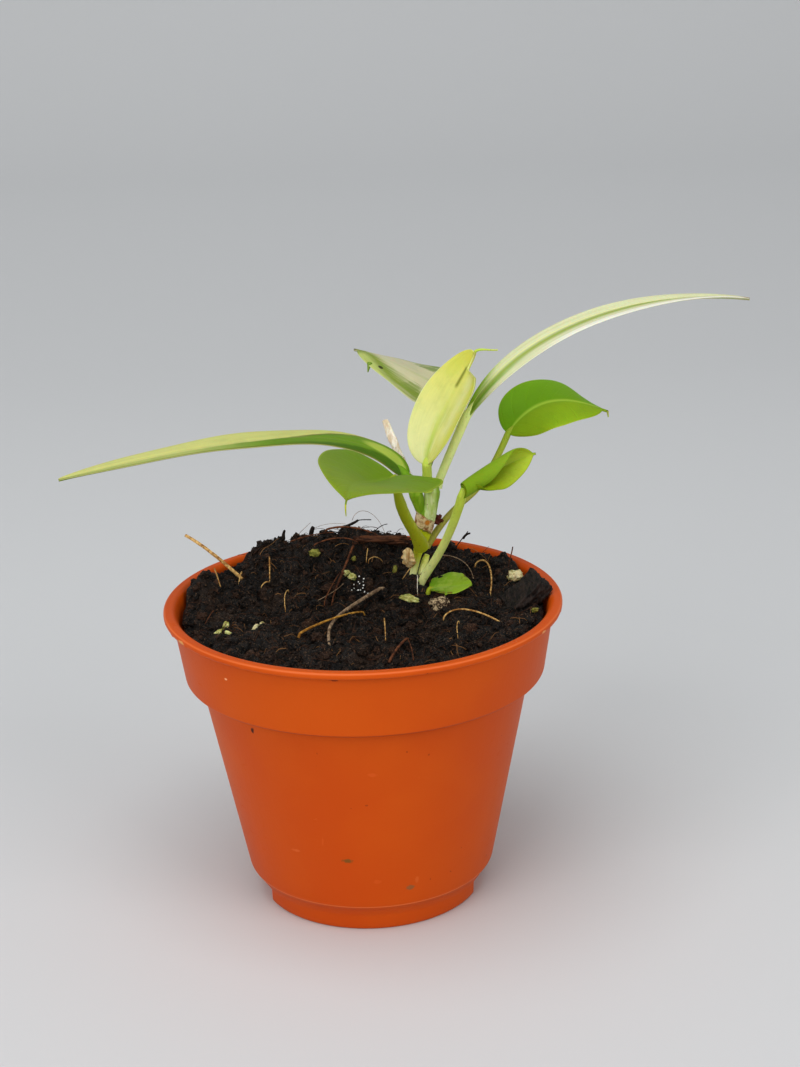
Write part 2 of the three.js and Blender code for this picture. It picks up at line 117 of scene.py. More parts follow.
class Nodes:
    """The nodes of one material or of one Geometry Nodes tree."""

    def __init__(self, tree):
        self.tree = tree

    def node(self, kind, settings=None, sockets=None):
        """Adds a node: first its settings, then the numbers, colours or links of its sockets."""
        made = self.tree.nodes.new(kind)
        for name, setting in (settings or {}).items():
            setattr(made, name, setting)
        for name, value in (sockets or {}).items():
            self.feed(made.inputs[name], value)
        return made

    def feed(self, socket, value):
        """Sets a socket or links it: to a value, a socket or a node's first output.

        Three numbers for a colour are its sRGB ones, 0 to 255."""
        if isinstance(value, bpy.types.Node):
            value = value.outputs[0]
        value = value.socket if isinstance(value, Value) else value
        if isinstance(value, bpy.types.NodeSocket):
            self.tree.links.new(value, socket)
        elif socket.type == "RGBA" and len(value) == 3:
            socket.default_value = colour(*value)
        else:
            socket.default_value = value

    def value(self, kind, settings=None, sockets=None, output=0):
        """Adds a node whose output is a number to go on with."""
        return Value(self, self.node(kind, settings, sockets).outputs[output])

    def maths(self, operation, *terms):
        return self.value("ShaderNodeMath", {"operation": operation}, dict(enumerate(terms)))

    def vector(self, operation, *terms):
        return self.node("ShaderNodeVectorMath", {"operation": operation}, dict(enumerate(terms)))

    def rise(self, value, low, high, start=0.0, end=1.0):
        """A smooth step from start to end while the value goes from low to high."""
        return self.value("ShaderNodeMapRange", {"interpolation_type": "SMOOTHSTEP"},
                          dict(enumerate((value, low, high, start, end))))

    def line(self, value, place, width):
        """1 where the value is at a place, falling to 0 a width away from it."""
        return self.rise(self.maths("ABSOLUTE", value - place), 0.0, width, 1.0, 0.0)

    def length(self, vector):
        return self.value("ShaderNodeVectorMath", {"operation": "LENGTH"}, {0: vector}, "Value")

    def scaled(self, vector, factor):
        return self.node("ShaderNodeVectorMath", {"operation": "SCALE"}, {0: vector, "Scale": factor})

    def part(self, vector, axis):
        """What a vector measures along an axis, 0 to 2."""
        return self.value("ShaderNodeSeparateXYZ", {}, {0: vector}, axis)

    def away(self):
        """How far the place is from the pot's axis."""
        return self.length(self.vector("MULTIPLY", self.place, (1, 1, 0)))

    def beside(self, at):
        """The place as seen from a point in mm."""
        return self.vector("SUBTRACT", self.place, tuple(c * MM for c in at))

    def noise(self, place, scale, detail=2.0, rough=0.5, distortion=0.0, output=0):
        return self.value("ShaderNodeTexNoise", {}, {"Vector": place, "Scale": scale, "Detail": detail,
                                                     "Roughness": rough, "Distortion": distortion}, output)


class Finish(Nodes):
    """A procedural material: a Principled shader, its constants set on it, and the nodes that feed it."""

    def __init__(self, name, **constants):
        self.material = bpy.data.materials.new(name)
        self.material.use_nodes = True
        super().__init__(self.material.node_tree)
        self.shader = self.tree.nodes["Principled BSDF"]
        for socket, number in constants.items():
            self.shader.inputs[socket.replace("_", " ")].default_value = number
        self.place = self.node("ShaderNodeTexCoord").outputs["Object"]

    def mix(self, share, one, other, blend="MIX"):
        settings = {"data_type": "RGBA", "blend_type": blend}
        return self.node("ShaderNodeMix", settings, {0: share, 6: one, 7: other}).outputs[2]

    def carried(self, name):
        """A number that the mesh carries under a name."""
        return self.value("ShaderNodeAttribute", {"attribute_name": name}, {}, "Fac")

    def stretched(self, *scale):
        """The place in the object's frame, stretched along its axes."""
        return self.node("ShaderNodeMapping", {}, {"Vector": self.place, "Scale": scale})

    def wear(self, base, rough, height, distance):
        """Feeds the shader's colour and roughness, and its normal from a height in metres."""
        bump = self.node("ShaderNodeBump", {}, {"Strength": 1.0, "Distance": distance, "Height": height})
        for name, value in (("Base Color", base), ("Roughness", rough), ("Normal", bump)):
            self.feed(self.shader.inputs[name], value)


def placed(name, data):
    """A new object in the scene."""
    made = bpy.data.objects.new(name, data)
    bpy.context.scene.collection.objects.link(made)
    return made


class Rule(Nodes):
    """A Geometry Nodes tree with named inputs, run on a mesh and kept as a plain one."""

    def __init__(self, name, **inputs):
        super().__init__(bpy.data.node_groups.new(name, "GeometryNodeTree"))
        face = self.tree.interface
        face.new_socket("Geometry", in_out="INPUT", socket_type="NodeSocketGeometry")
        face.new_socket("Geometry", in_out="OUTPUT", socket_type="NodeSocketGeometry")
        self.keys = {}
        for label, kind in inputs.items():
            made = face.new_socket(label, in_out="INPUT", socket_type="NodeSocket" + kind)
            self.keys[label] = made.identifier
        self.source = self.node("NodeGroupInput")
        self.place = self.node("GeometryNodeInputPosition").outputs[0]

    def given(self, label):
        """One of the tree's inputs."""
        return Value(self, self.source.outputs[label])

    def moved(self, geometry, offset):
        return self.node("GeometryNodeSetPosition", {}, {0: geometry, "Offset": offset})

    def kept(self, geometry, where=True):
        """Ends the tree: instances made real, and the finish set where it belongs."""
        real = self.node("GeometryNodeRealizeInstances", {}, {0: geometry})
        painted = self.node("GeometryNodeSetMaterial", {}, {0: real, "Selection": where,
                                                            "Material": self.given("finish")})
        self.feed(self.node("NodeGroupOutput").inputs[0], painted)

    def run(self, name, source, finish, **values):
        """The tree's result on a mesh, as a piece with a plain mesh."""
        bearer = placed(name + "_source", source)
        modifier = bearer.modifiers.new("rule", "NODES")
        modifier.node_group = self.tree
        for label, value in dict(values, finish=finish.material).items():
            modifier[self.keys[label]] = value
        graph = bpy.context.evaluated_depsgraph_get()
        mesh = bpy.data.meshes.new_from_object(bearer.evaluated_get(graph), depsgraph=graph)
        mesh.name = name
        for empty in reversed([i for i, used in enumerate(mesh.materials) if used is None]):
            mesh.materials.pop(index=empty)
        bearer.modifiers.remove(modifier)
        bpy.data.objects.remove(bearer)
        return placed(name, mesh)


def settle(piece, slot, *nodes):
    """The piece rides on the one body and stands for these nodes, which are hidden. The slot is not used."""
    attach(piece, "root")
    if nodes:
        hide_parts(*nodes)


def rounded(corners, radius, arc=4):
    """A line through corners, each turned on a small arc."""
    points = [corners[0]]
    for before, corner, after in zip(corners, corners[1:], corners[2:]):
        before, corner, after = (np.array(p, float) for p in (before, corner, after))
        back, forth = np.linalg.norm(before - corner), np.linalg.norm(after - corner)
        reach = min(radius, 0.45 * back, 0.45 * forth)
        start = corner + (before - corner) / back * reach
        end = corner + (after - corner) / forth * reach
        for t in np.linspace(0, 1, arc):
            points.append((1 - t) ** 2 * start + 2 * t * (1 - t) * corner + t * t * end)
    return np.array(points + [corners[-1]])


plastic = Finish("pot_plastic", Specular_IOR_Level=0.16, Subsurface_Weight=0.04, Subsurface_Scale=0.002)
height_z, away = plastic.part(plastic.place, 2), plastic.away()
cloud = plastic.noise(plastic.place, 38, 3)
grain = plastic.noise(plastic.place, 1500, 2)
flow = plastic.noise(plastic.stretched(220, 220, 14), 1, 3, 0.6)
scuff = plastic.noise(plastic.stretched(260, 260, 900), 1, 4, 0.7, 1.5)
scuffed = plastic.rise(scuff, 0.68, 0.76)
dust = plastic.noise(plastic.place, 800, 1)
nibble = plastic.noise(plastic.place, 240, 3, 0.7)
tone = plastic.mix(plastic.rise(cloud, 0.35, 0.68), (199, 81, 6), (204, 88, 8))
tone = plastic.mix(plastic.rise(height_z, 4 * MM, 50 * MM) * -0.3 + 0.3, tone, (194, 74, 6))
tone = plastic.mix(scuffed * 0.2, tone, (236, 140, 84))
tone = plastic.mix(plastic.rise(dust, 0.79, 0.82) * 0.5, tone, (130, 44, 14))
# Painted highlight: a thin light line along the crease where the body meets the coved foot.
tone = plastic.mix(plastic.line(height_z, STEP_Z * MM, 0.22 * MM) * 0.55, tone, (236, 140, 84))
# Painted shade: a dark line under the overhanging edge of the collar step.
tone = plastic.mix(plastic.line(height_z, COLLAR_Z * MM, 0.4 * MM) * 0.55, tone, (140, 40, 8))
outer = plastic.rise(away, 35.3 * MM, 35.7 * MM)
# Painted shadow: a thin, ragged dark line just under the lip, where it overhangs the collar.
lip_shadow = plastic.line(height_z, UNDER_LIP_Z * MM, 0.32 * MM) * plastic.rise(nibble, 0.36, 0.58) * outer
tone = plastic.mix(lip_shadow * 0.75, tone, (112, 30, 6))
# Painted highlight: a thin light line along the upper edge of the lip.
brink_highlight = plastic.line(height_z, BRINK_Z * MM, 0.22 * MM) * plastic.rise(away, 36.7 * MM, 37.2 * MM)
tone = plastic.mix(brink_highlight * 0.3, tone, (240, 150, 100))
for at, size, shade, share in [  # marks: centre on the wall and half sizes in mm, colour, strength
    ((-4.5, -25.5, 16.6), (1.1, 9, 0.5), (110, 86, 34), 0.8),
    ((6.9, -23.5, 9.7), (0.9, 9, 0.6), (130, 98, 60), 0.7),
    ((8.2, -23.6, 11.2), (0.4, 9, 0.9), (214, 112, 52), 0.45),
    ((-20.7, -22.9, 42.2), (0.3, 9, 0.8), (40, 18, 10), 0.9),
    ((-24.8, -25.2, 53.2), (0.3, 9, 0.3), (250, 190, 140), 0.9),
    ((0.6, -29.6, 35.6), (1.1, 9, 0.4), (218, 104, 44), 0.35),
    ((-14, -22, 17.4), (1, 9, 0.35), (222, 120, 64), 0.4),
    ((-8.9, -25.1, 20.5), (0.2, 9, 1.1), (214, 100, 40), 0.35),
    ((0.8, -24.9, 11.8), (0.9, 9, 0.5), (218, 104, 44), 0.25),
    ((-32.9, -17.6, 57.6), (0.8, 2, 0.4), (222, 170, 100), 0.8),
    ((32.3, -18.8, 57.6), (0.5, 1.5, 0.3), (236, 180, 120), 0.7),
    # Painted shadow: a darker spot in the shadow line under the lip, at a nick.
    ((-5.5, -35.4, 56.6), (0.8, 2, 0.4), (104, 28, 6), 0.8),
]:
    offset = plastic.length(plastic.vector("DIVIDE", plastic.beside(at), tuple(c * MM for c in size)))
    tone = plastic.mix(plastic.rise(offset + (grain - 0.5) * 1.2, 0.5, 1.1, 1, 0) * share, tone, shade)
plastic.wear(tone, 0.4 + cloud * 0.1 + plastic.rise(scuff, 0.6, 0.74) * 0.2,
             grain * 0.35 + flow * 0.8 + scuffed * 0.3, 0.06 * MM)

turning = Rule("pot_turning", finish="Material", sides="Int", holes="Int", hole_radius="Float",
               ring_radius="Float", floor="Float", flash="Float", flat="Float")
count = turning.value("GeometryNodeAttributeDomainSize", {}, {0: turning.given("Geometry")})
grid = turning.node("GeometryNodeMeshGrid", {}, {
    "Vertices X": turning.given("sides") + 1, "Vertices Y": count})
index = turning.value("GeometryNodeInputIndex")
column = turning.maths("FLOOR", (index + 0.5) / count)
profile = turning.node("GeometryNodeSampleIndex", {"data_type": "FLOAT_VECTOR"},
                       {0: turning.given("Geometry"), 1: turning.place, 2: index - column * count})
turned = turning.node("ShaderNodeVectorRotate", {"rotation_type": "Z_AXIS"},
                      {"Vector": profile, "Angle": column * (2 * math.pi / turning.given("sides"))})
shell = turning.node("GeometryNodeSetPosition", {}, {"Geometry": grid, "Position": turned})
shell = turning.node("GeometryNodeMergeByDistance", {}, {"Geometry": shell, "Distance": 1e-6})
ring = turning.node("GeometryNodeMeshCircle", {}, {
    "Vertices": turning.given("holes"), "Radius": turning.given("ring_radius")})
punch = turning.node("GeometryNodeMeshCylinder", {}, {
    "Vertices": DRAIN_SIDES, "Radius": turning.given("hole_radius"), "Depth": turning.given("floor") * 4})
punches = turning.node("GeometryNodeInstanceOnPoints", {}, {"Points": ring, "Instance": punch})
punches = turning.node("GeometryNodeRealizeInstances", {}, {0: punches})
shell = turning.node("GeometryNodeMeshBoolean", {"operation": "DIFFERENCE", "solver": "EXACT"},
                     {0: shell, 1: punches})
x, z = turning.part(turning.place, 0), turning.part(turning.place, 2)
away = turning.away()
edge = turning.line(z, FLASH_Z * MM, 0.35 * MM) * turning.rise(away, 36.9 * MM, 37.4 * MM)
edge = edge * turning.rise(turning.length(turning.beside(TORN_AT)), 3 * MM, 9 * MM, 5.0, 1.0)
ragged = turning.rise(turning.noise(turning.place, 700, 3, 0.7), 0.5, 0.75) * edge * turning.given("flash")
shell = turning.moved(shell, turning.scaled(turning.vector("MULTIPLY", turning.place, (1, 1, 0)), ragged))
within = turning.maths("LESS_THAN", away, FLOOR_R * MM + (z - FLOOR_T * MM) * 0.3)
within = within * turning.maths("GREATER_THAN", z, 1.25 * MM) * turning.maths("LESS_THAN", z, 4.3 * MM)
flare = turning.rise(z, 3.4 * MM, FLAT_TOP * MM, 0.0, 5 * MM)
limit = flare * (1 - within) + turning.given("flat") - within * MM
across = turning.maths("MAXIMUM", turning.maths("MINIMUM", x, limit), -limit) - x
low = turning.maths("LESS_THAN", z, FLAT_TOP * MM)
shell = turning.moved(shell, turning.node("ShaderNodeCombineXYZ", {}, {0: across * low}))
soft = turning.maths("LESS_THAN", turning.value("GeometryNodeInputMeshEdgeAngle"), 0.7)
turning.kept(turning.node("GeometryNodeSetShadeSmooth", {"domain": "EDGE"}, {0: shell, "Shade Smooth": soft}))

pot_line = bpy.data.meshes.new("pot_line")
pot_line.from_pydata([(r * MM, 0, z * MM) for r, z in rounded(POT_OUTSIDE + POT_INSIDE, CORNER_R)], [], [])
pot = turning.run("pot_shell", pot_line, plastic, sides=POT_SIDES, holes=DRAIN_HOLES,
                  hole_radius=DRAIN_R * MM, ring_radius=DRAIN_RING_R * MM, floor=FLOOR_T * MM,
                  flash=FLASH_SHARE, flat=FLAT_X * MM)
settle(pot, "pot_plastic", "pot")


# Soil. Moist peat mix, nearly black, tipped in loosely and never pressed: it stands in clods and crumbs, with
# a heap behind the stem, and fills the pot to the underside of its lip. The crumbs lie loose on the surface.
SOIL_Z = 56
SOIL_SLOPE = 0.03
HEAPS = [  # centre, spread along X and Y, and height, in mm; the slumps the same way
    (-9, 23, 14, 6.5, 7), (2, 23, 6, 3.5, 1.6), (-29.5, 9, 3.6, 3.6, 4.2),
    (28, 17, 2.8, 2.8, 3.4), (22.5, 21, 3.5, 3, 2.2), (11, 9.5, 4, 4, 1.2),
]
SLUMPS = [(-28.5, 24, 3.2, 5, -3.8), (26.8, 19.6, 1.5, 2.4, -2.6), (-13, 25, 8, 5, -1.7)]
SOIL_SIDES = 480
SOIL_RINGS = 100
SOIL_GAP = 0.3
EDGE_R = 34.1
EDGE_TOP = 58.8
EDGE_SHARE = 0.035
BRIM_R = 34.6
CRUMBS_WITHIN = 33.3
GROUND_REACH = 0.45
LOOSE_R = 33.2
LOOSE_Z = 50


def value_noise(x, y):
    """Repeatable noise from -1 to 1 over the XY plane."""
    i, j = np.floor(x), np.floor(y)
    u, v = x - i, y - j
    u, v = u * u * (3 - 2 * u), v * v * (3 - 2 * v)

    def at(a, b):
        value = np.sin(a * 127.1 + b * 311.7) * 43758.5453
        return value - np.floor(value)

    low = at(i, j) * (1 - u) + at(i + 1, j) * u
    high = at(i, j + 1) * (1 - u) + at(i + 1, j + 1) * u
    return 2 * (low * (1 - v) + high * v) - 1


def heaped(z, x, y, heaps):
    """A height in mm with heaps or slumps added."""
    for hx, hy, sx, sy, h in heaps:
        z = z + h * np.exp(-0.5 * (((x - hx) / sx) ** 2 + ((y - hy) / sy) ** 2))
    return z


def soil_level(x, y):
    """Height of the soil without its clods, in mm."""
    return heaped(SOIL_Z + SOIL_SLOPE * y, x, y, HEAPS)


def soil_height(x, y):
    """Height of the bed with its slumps and lumps, in mm."""
    z = soil_level(x, y) + 1.1 * value_noise(x / 4.6, y / 4.6) + 0.6 * value_noise(x / 2.3 + 40, y / 2.3)
    return heaped(z, x, y, SLUMPS)


def plain_mesh(name, points, faces, unit=MM):
    """A smooth mesh from points."""
    mesh = bpy.data.meshes.new(name)
    mesh.from_pydata((np.asarray(points) * unit).tolist(), [], faces)
    mesh.polygons.foreach_set("use_smooth", [True] * len(mesh.polygons))
    return mesh


def skinned(count, sides):
    """Faces over closed rings of points, ring after ring, and over the two middle points that follow them."""
    here = np.arange(sides)
    beside = (here + 1) % sides
    faces = []
    for i in range(count - 1):
        low, high = i * sides, (i + 1) * sides
        faces += np.stack([low + here, low + beside, high + beside, high + here], 1).tolist()
    last = (count - 1) * sides
    for k in range(sides):
        after = (k + 1) % sides
        faces.append([after, k, count * sides])
        faces.append([last + k, last + after, count * sides + 1])
    return faces


angle = np.linspace(0, 2 * np.pi, SOIL_SIDES, endpoint=False)
wall = [(z, r - SOIL_GAP) for r, z in reversed(POT_INSIDE[3:-1])] + [(RIM_Z, BRIM_R)]
edge_z = np.minimum(soil_height(EDGE_R * np.cos(angle), EDGE_R * np.sin(angle)) - 0.4, EDGE_TOP)
edge_r = np.interp(np.minimum(edge_z, RIM_Z), *zip(*wall)) - 0.2
soil_rings = []
for z, r in wall[:-2]:
    x = r * np.cos(angle)
    x = np.clip(x, FLOOR_T - FLAT_X, FLAT_X - FLOOR_T) if z < FLAT_TOP else x
    soil_rings.append(np.stack([x, r * np.sin(angle), np.full(SOIL_SIDES, z + SOIL_GAP)], 1))
for share in np.linspace(1, 0.004, SOIL_RINGS):
    x, y = edge_r * share * np.cos(angle), edge_r * share * np.sin(angle)
    rim = max(0, (share - (1 - EDGE_SHARE)) / EDGE_SHARE)
    soil_rings.append(np.stack([x, y, (1 - rim) * soil_height(x, y) + rim * edge_z], 1))
middle = [[0, 0, soil_rings[0][0][2]], [0, 0, soil_height(0.0, 0.0)]]
soil_mesh = plain_mesh("soil_bed", np.vstack([*soil_rings, middle]), skinned(len(soil_rings), SOIL_SIDES))

peat = Finish("peat", Specular_IOR_Level=0.45)
tuft = peat.noise(peat.place, 420, 5, 0.75)
glint_speck = peat.noise(peat.place, 3000, 2, 0.6)
rotted = peat.noise(peat.place, 150, 3, 0.6)
tone = peat.mix(peat.rise(tuft, 0.42, 0.68), (6, 4, 3), (34, 24, 18))
tone = peat.mix(peat.rise(rotted, 0.55, 0.7) * 0.6, tone, (58, 38, 22))
# Painted glints: tiny pale specks that stand in for wet highlights on the peat; the same noise also raises
# its bump.
tone = peat.mix(peat.rise(glint_speck, 0.57, 0.68) * 0.7, tone, (118, 90, 66))
peat.wear(tone, 0.4 + tuft * 0.4, tuft * 0.6 + glint_speck * 0.7, 1.1 * MM)


def stored(rule, geometry, name, value, domain):
    """The geometry with a number kept on it under a name."""
    return rule.node("GeometryNodeStoreNamedAttribute", {"data_type": "FLOAT", "domain": domain},
                     {0: geometry, "Name": name, "Value": value})


class SoilRule(Rule):
    """A rule that works on the soil: it shifts what lies there by noise, and strews things over it."""

    def drawn(self, low, high, step):
        """A number or a vector between two, drawn with the given seed and a step."""
        kind, first, output = ("FLOAT_VECTOR", 0, 0) if isinstance(low, tuple) else ("FLOAT", 2, 1)
        return self.value("FunctionNodeRandomValue", {"data_type": kind},
                          {first: low, first + 1: high, "Seed": self.given("seed") + step}, output)

    def drift(self, scale, detail, rough=0.5):
        """A noise vector around zero."""
        drift = self.noise(self.place, scale, detail, rough, output=1)
        return self.vector("SUBTRACT", drift, (0.5, 0.5, 0.5))

    def scattered(self, within):
        """Points on the upward faces, as far as a radius from the axis."""
        facing = self.part(self.node("GeometryNodeInputNormal"), 2)
        onto = self.maths("GREATER_THAN", facing, 0.1) * self.maths("LESS_THAN", self.away(), within)
        return self.node("GeometryNodeDistributePointsOnFaces", {}, {
            0: self.given("Geometry"), "Selection": onto, "Density": self.given("density"),
            "Seed": self.given("seed")})

    def copies(self, points, thing, turn, size, step):
        """A thing on each point, turned and sized, with a lot of its own; all of them made real."""
        strewn = self.node("GeometryNodeInstanceOnPoints", {}, {
            0: points, "Instance": thing, "Rotation": turn, "Scale": size})
        strewn = stored(self, strewn, "lot", self.drawn(0.0, 1.0, step), "INSTANCE")
        return self.node("GeometryNodeRealizeInstances", {}, {0: strewn})


crumble = SoilRule("soil_crumble", finish="Material", roughness="Float")
cell = crumble.value("ShaderNodeTexVoronoi", {}, {"Vector": crumble.place, "Scale": 520})
lumps = crumble.scaled(crumble.node("GeometryNodeInputNormal"), (0.42 - cell) * 0.9 * MM)
free = crumble.rise(crumble.away(), LOOSE_R * MM, (LOOSE_R + 1) * MM, 1.0, 0.0)
free = free * crumble.rise(crumble.part(crumble.place, 2), LOOSE_Z * MM, (LOOSE_Z + 3) * MM)
clods = crumble.vector("MULTIPLY", crumble.drift(420, 5, 0.72), (3.4 * MM, 3.4 * MM, 4.6 * MM))
knocked = crumble.scaled(crumble.vector("ADD", clods, lumps), free * crumble.given("roughness"))
crumble.kept(crumble.moved(crumble.given("Geometry"), knocked))
soil = crumble.run("soil_bed", soil_mesh, peat, roughness=1.0)
settle(soil, "peat", "soil")

crumb = Finish("peat_crumbs", Specular_IOR_Level=0.36)
tuft = crumb.noise(crumb.place, 900, 4, 0.7)
glint_speck = crumb.noise(crumb.place, 3000, 2, 0.6)
rotted = crumb.noise(crumb.place, 150, 3, 0.6)
tone = crumb.mix(crumb.carried("lot") ** 5, (8, 5, 4), (70, 44, 28))
tone = crumb.mix(crumb.rise(tuft, 0.56, 0.75) * 0.4, tone, (66, 46, 32))
tone = crumb.mix(crumb.rise(rotted, 0.55, 0.7) * 0.5, tone, (62, 42, 26))
# Painted glints: tiny pale specks that stand in for wet highlights on the crumbs; the same noise also raises
# their bump.
tone = crumb.mix(crumb.rise(glint_speck, 0.57, 0.68) * 0.65, tone, (130, 100, 74))
crumb.wear(tone, 0.38 + tuft * 0.4, tuft + glint_speck * 0.7, 0.9 * MM)

strewing = SoilRule("crumb_strewing", finish="Material", density="Float", smallest="Float",
                    largest="Float", detail="Int", seed="Int", roughness="Float")
smallest, largest = strewing.given("smallest"), strewing.given("largest")
size = strewing.drawn(0.0, 1.0, 1) ** 2.2 * (largest - smallest) + smallest
shape = strewing.scaled(strewing.drawn((0.6, 0.6, 0.45), (1.3, 1.1, 0.9), 2), size)
turn = strewing.drawn((-0.7, -0.7, 0), (0.7, 0.7, 6.28), 3)
ball = strewing.node("GeometryNodeMeshIcoSphere", {}, {
    "Radius": 1.0, "Subdivisions": strewing.given("detail")})
strewn = strewing.copies(strewing.scattered(CRUMBS_WITHIN * MM), ball, turn, shape, 4)
drift = strewing.scaled(strewing.drift(strewing.given("roughness") / largest, 4.0, 0.6), largest * 1.5)
strewing.kept(strewing.moved(strewn, drift))
for name, density, smallest, largest, detail, seed, roughness in [  # per square metre, radii in mm
    ("soil_clods", 0.72e5, 0.7, 1.7, 3, 11, 2.6),
    ("soil_crumbs", 3.5e5, 0.28, 0.85, 2, 22, 2),
    ("soil_grains", 1.05e6, 0.14, 0.32, 1, 33, 0.7),
]:
    strewn = strewing.run(name, soil.data, crumb, density=density, smallest=smallest * MM,
                          largest=largest * MM, detail=detail, seed=seed, roughness=roughness)
    settle(strewn, "peat", "soil")

surface = np.vstack([[vert.co / MM for vert in bpy.data.objects[name].data.vertices]
                     for name in ("soil_bed", "soil_clods", "soil_crumbs")])


def ground(x, y):
    """Height of the soil with its clods and crumbs, in mm, or 0 beside it."""
    near = np.hypot(surface[:, 0] - x, surface[:, 1] - y) < GROUND_REACH
    return surface[near, 2].max(initial=0)


# Stem. A short upright shoot of living olive-green tissue, thin at its foot and thick with old leaf sheaths
# further up, where a corky ring shows that leaves have dropped. It is rooted in the peat.
STEM_PATH = [(9.2, 10.5, 46), (7.4, 10.2, 57), (12.9, 10.5, 66), (13, 10.5, 76)]
STEM_TOP = 0.92
STEM_RADII = [(0, 0.85), (0.46, 0.7), (0.56, 0.8), (0.62, 1.1), (0.68, 1.55), (0.73, 1.85), (0.8, 1.95),
              (0.86, 1.8), (0.92, 1.2)]
STEM_PARTS = [  # sheaths of the old leaves on the right and the left, and the stub of a root: paths and radii
    ([(13.3, 10, 69), (13.3, 9.7, 72), (13.9, 9.9, 75), (14.1, 10.6, 78.2)],
     [(0, 0.8), (0.3, 1.25), (0.75, 1.55), (1, 0.8)]),
    ([(12.1, 10.3, 70.4), (11.5, 9.7, 73), (10.9, 9.5, 75), (10, 9.3, 78.2)],
     [(0, 0.8), (0.3, 1.05), (0.7, 1.35), (1, 0.9)]),
    ([(12.7, 11.4, 62.6), (12.3, 11.4, 61.4), (11.6, 11.2, 60), (11.1, 11, 57.6)],
     [(0, 0.5), (0.3, 0.7), (1, 0.6)]),
]
SCAR_Z = 67.9
SCAR_TOP = 71
BEAD_AT = (12.8, 8.6, 70)


def bezier(points, t):
    """Places on a cubic curve and its directions there."""
    p0, p1, p2, p3 = (np.array(p, float) for p in points)
    t = np.asarray(t, float)[:, None]
    place = (1 - t) ** 3 * p0 + 3 * (1 - t) ** 2 * t * p1 + 3 * (1 - t) * t ** 2 * p2 + t ** 3 * p3
    way = (1 - t) ** 2 * (p1 - p0) + 2 * (1 - t) * t * (p2 - p1) + t ** 2 * (p3 - p2)
    return place, way / np.linalg.norm(way, axis=1, keepdims=True)


def tube_around(rule, path, sides, radius):
    """A tube with closed ends around the lines."""
    section = rule.node("GeometryNodeCurvePrimitiveCircle", {}, {"Resolution": sides, "Radius": 1.0})
    return rule.node("GeometryNodeCurveToMesh", {}, {0: path, 1: section, "Scale": radius, "Fill Caps": True})


stalk = Rule("stalk", finish="Material", sides="Int", knobble="Float")
thick = stalk.value("GeometryNodeInputNamedAttribute", {"data_type": "FLOAT"}, {"Name": "girth"})
on_lines = stalk.maths("GREATER_THAN", thick, 0.0)
bare = stalk.maths("LESS_THAN", stalk.value("GeometryNodeInputMeshEdgeNeighbors"), 0.5)
path = stalk.node("GeometryNodeMeshToCurve", {}, {0: stalk.given("Geometry"), 1: bare})
path = stored(stalk, path, "along", stalk.node("GeometryNodeSplineParameter"), "POINT")
tube = tube_around(stalk, path, stalk.given("sides"), thick)
knob = (stalk.noise(stalk.place, 900, 2) - 0.5) * thick * stalk.given("knobble")
tube = stalk.moved(tube, stalk.scaled(stalk.node("GeometryNodeInputNormal"), knob))
tube = stalk.node("GeometryNodeSetShadeSmooth", {}, {0: tube})
rest = stalk.node("GeometryNodeDeleteGeometry", {"domain": "POINT"},
                  {0: stalk.given("Geometry"), 1: on_lines})
whole = stalk.node("GeometryNodeJoinGeometry", {}, {0: rest})
stalk.feed(whole.inputs[0], tube)
stalk.kept(whole, on_lines)


def lined(name, paths, skin=None):
    """A mesh of lines for the stalk rule: each its points and radii in mm, beside a skin if one is given."""
    points, faces = skin or (np.zeros((0, 3)), [])
    edges, radii = [], [0.0] * len(points)
    for line, sizes in paths:
        first = len(radii)
        points = np.vstack([points, line])
        radii += [size * MM for size in sizes]
        edges += [(first + i, first + i + 1) for i in range(len(line) - 1)]
    mesh = bpy.data.meshes.new(name)
    mesh.from_pydata((points * MM).tolist(), edges, faces)
    mesh.attributes.new("girth", "FLOAT", "POINT").data.foreach_set("value", radii)
    return mesh


tissue = Finish("stem_green", Specular_IOR_Level=0.22, Subsurface_Weight=0.1, Subsurface_Scale=0.001)
x, z = tissue.part(tissue.place, 0), tissue.part(tissue.place, 2)
streak = tissue.noise(tissue.stretched(1100, 1100, 200), 1, 3, 0.6)
patch = tissue.noise(tissue.place, 700, 4, 0.65)
fleck = tissue.noise(tissue.place, 2100, 1)
wander = (patch - 0.5) * 2 * MM
streaked = tissue.rise(streak, 0.35, 0.65)
tone = tissue.mix(tissue.rise(z + wander, 59 * MM, 64 * MM), (240, 244, 176), (214, 224, 42))
tone = tissue.mix(tissue.rise(streak, 0.42, 0.7) * 0.45, tone, (200, 206, 90))
sheath = tissue.mix(streaked, (118, 160, 20), (150, 186, 50))
pale = tissue.mix(streaked, (190, 214, 112), (226, 236, 182))
pale = tissue.mix(tissue.rise(x, 14.2 * MM, 14.9 * MM), pale, (150, 186, 54))
sheath = tissue.mix(tissue.rise(x + wander * 0.2, 12.15 * MM, 12.4 * MM), sheath, pale)
slant = z + (x - 12.4 * MM) * 0.65
above = tissue.rise(slant + wander * 0.4, SCAR_TOP * MM, (SCAR_TOP + 0.3) * MM)
tone = tissue.mix(above, tone, sheath)
scar = tissue.rise(slant + wander, SCAR_Z * MM, (SCAR_Z + 0.6) * MM)
scar = scar * tissue.rise(slant + wander * 0.4, SCAR_TOP * MM, (SCAR_TOP + 0.3) * MM, 1, 0)
cork = tissue.mix(tissue.rise(patch, 0.42, 0.6), (160, 112, 66), (232, 208, 164))
cork = tissue.mix(tissue.rise(patch, 0.42, 0.34) * 0.9, cork, (96, 44, 20))
bead = tissue.length(tissue.beside(BEAD_AT))
cork = tissue.mix(tissue.rise(bead, 0.35 * MM, 0.7 * MM, 0.9, 0), cork, (206, 128, 20))
tone = tissue.mix(scar, tone, cork)
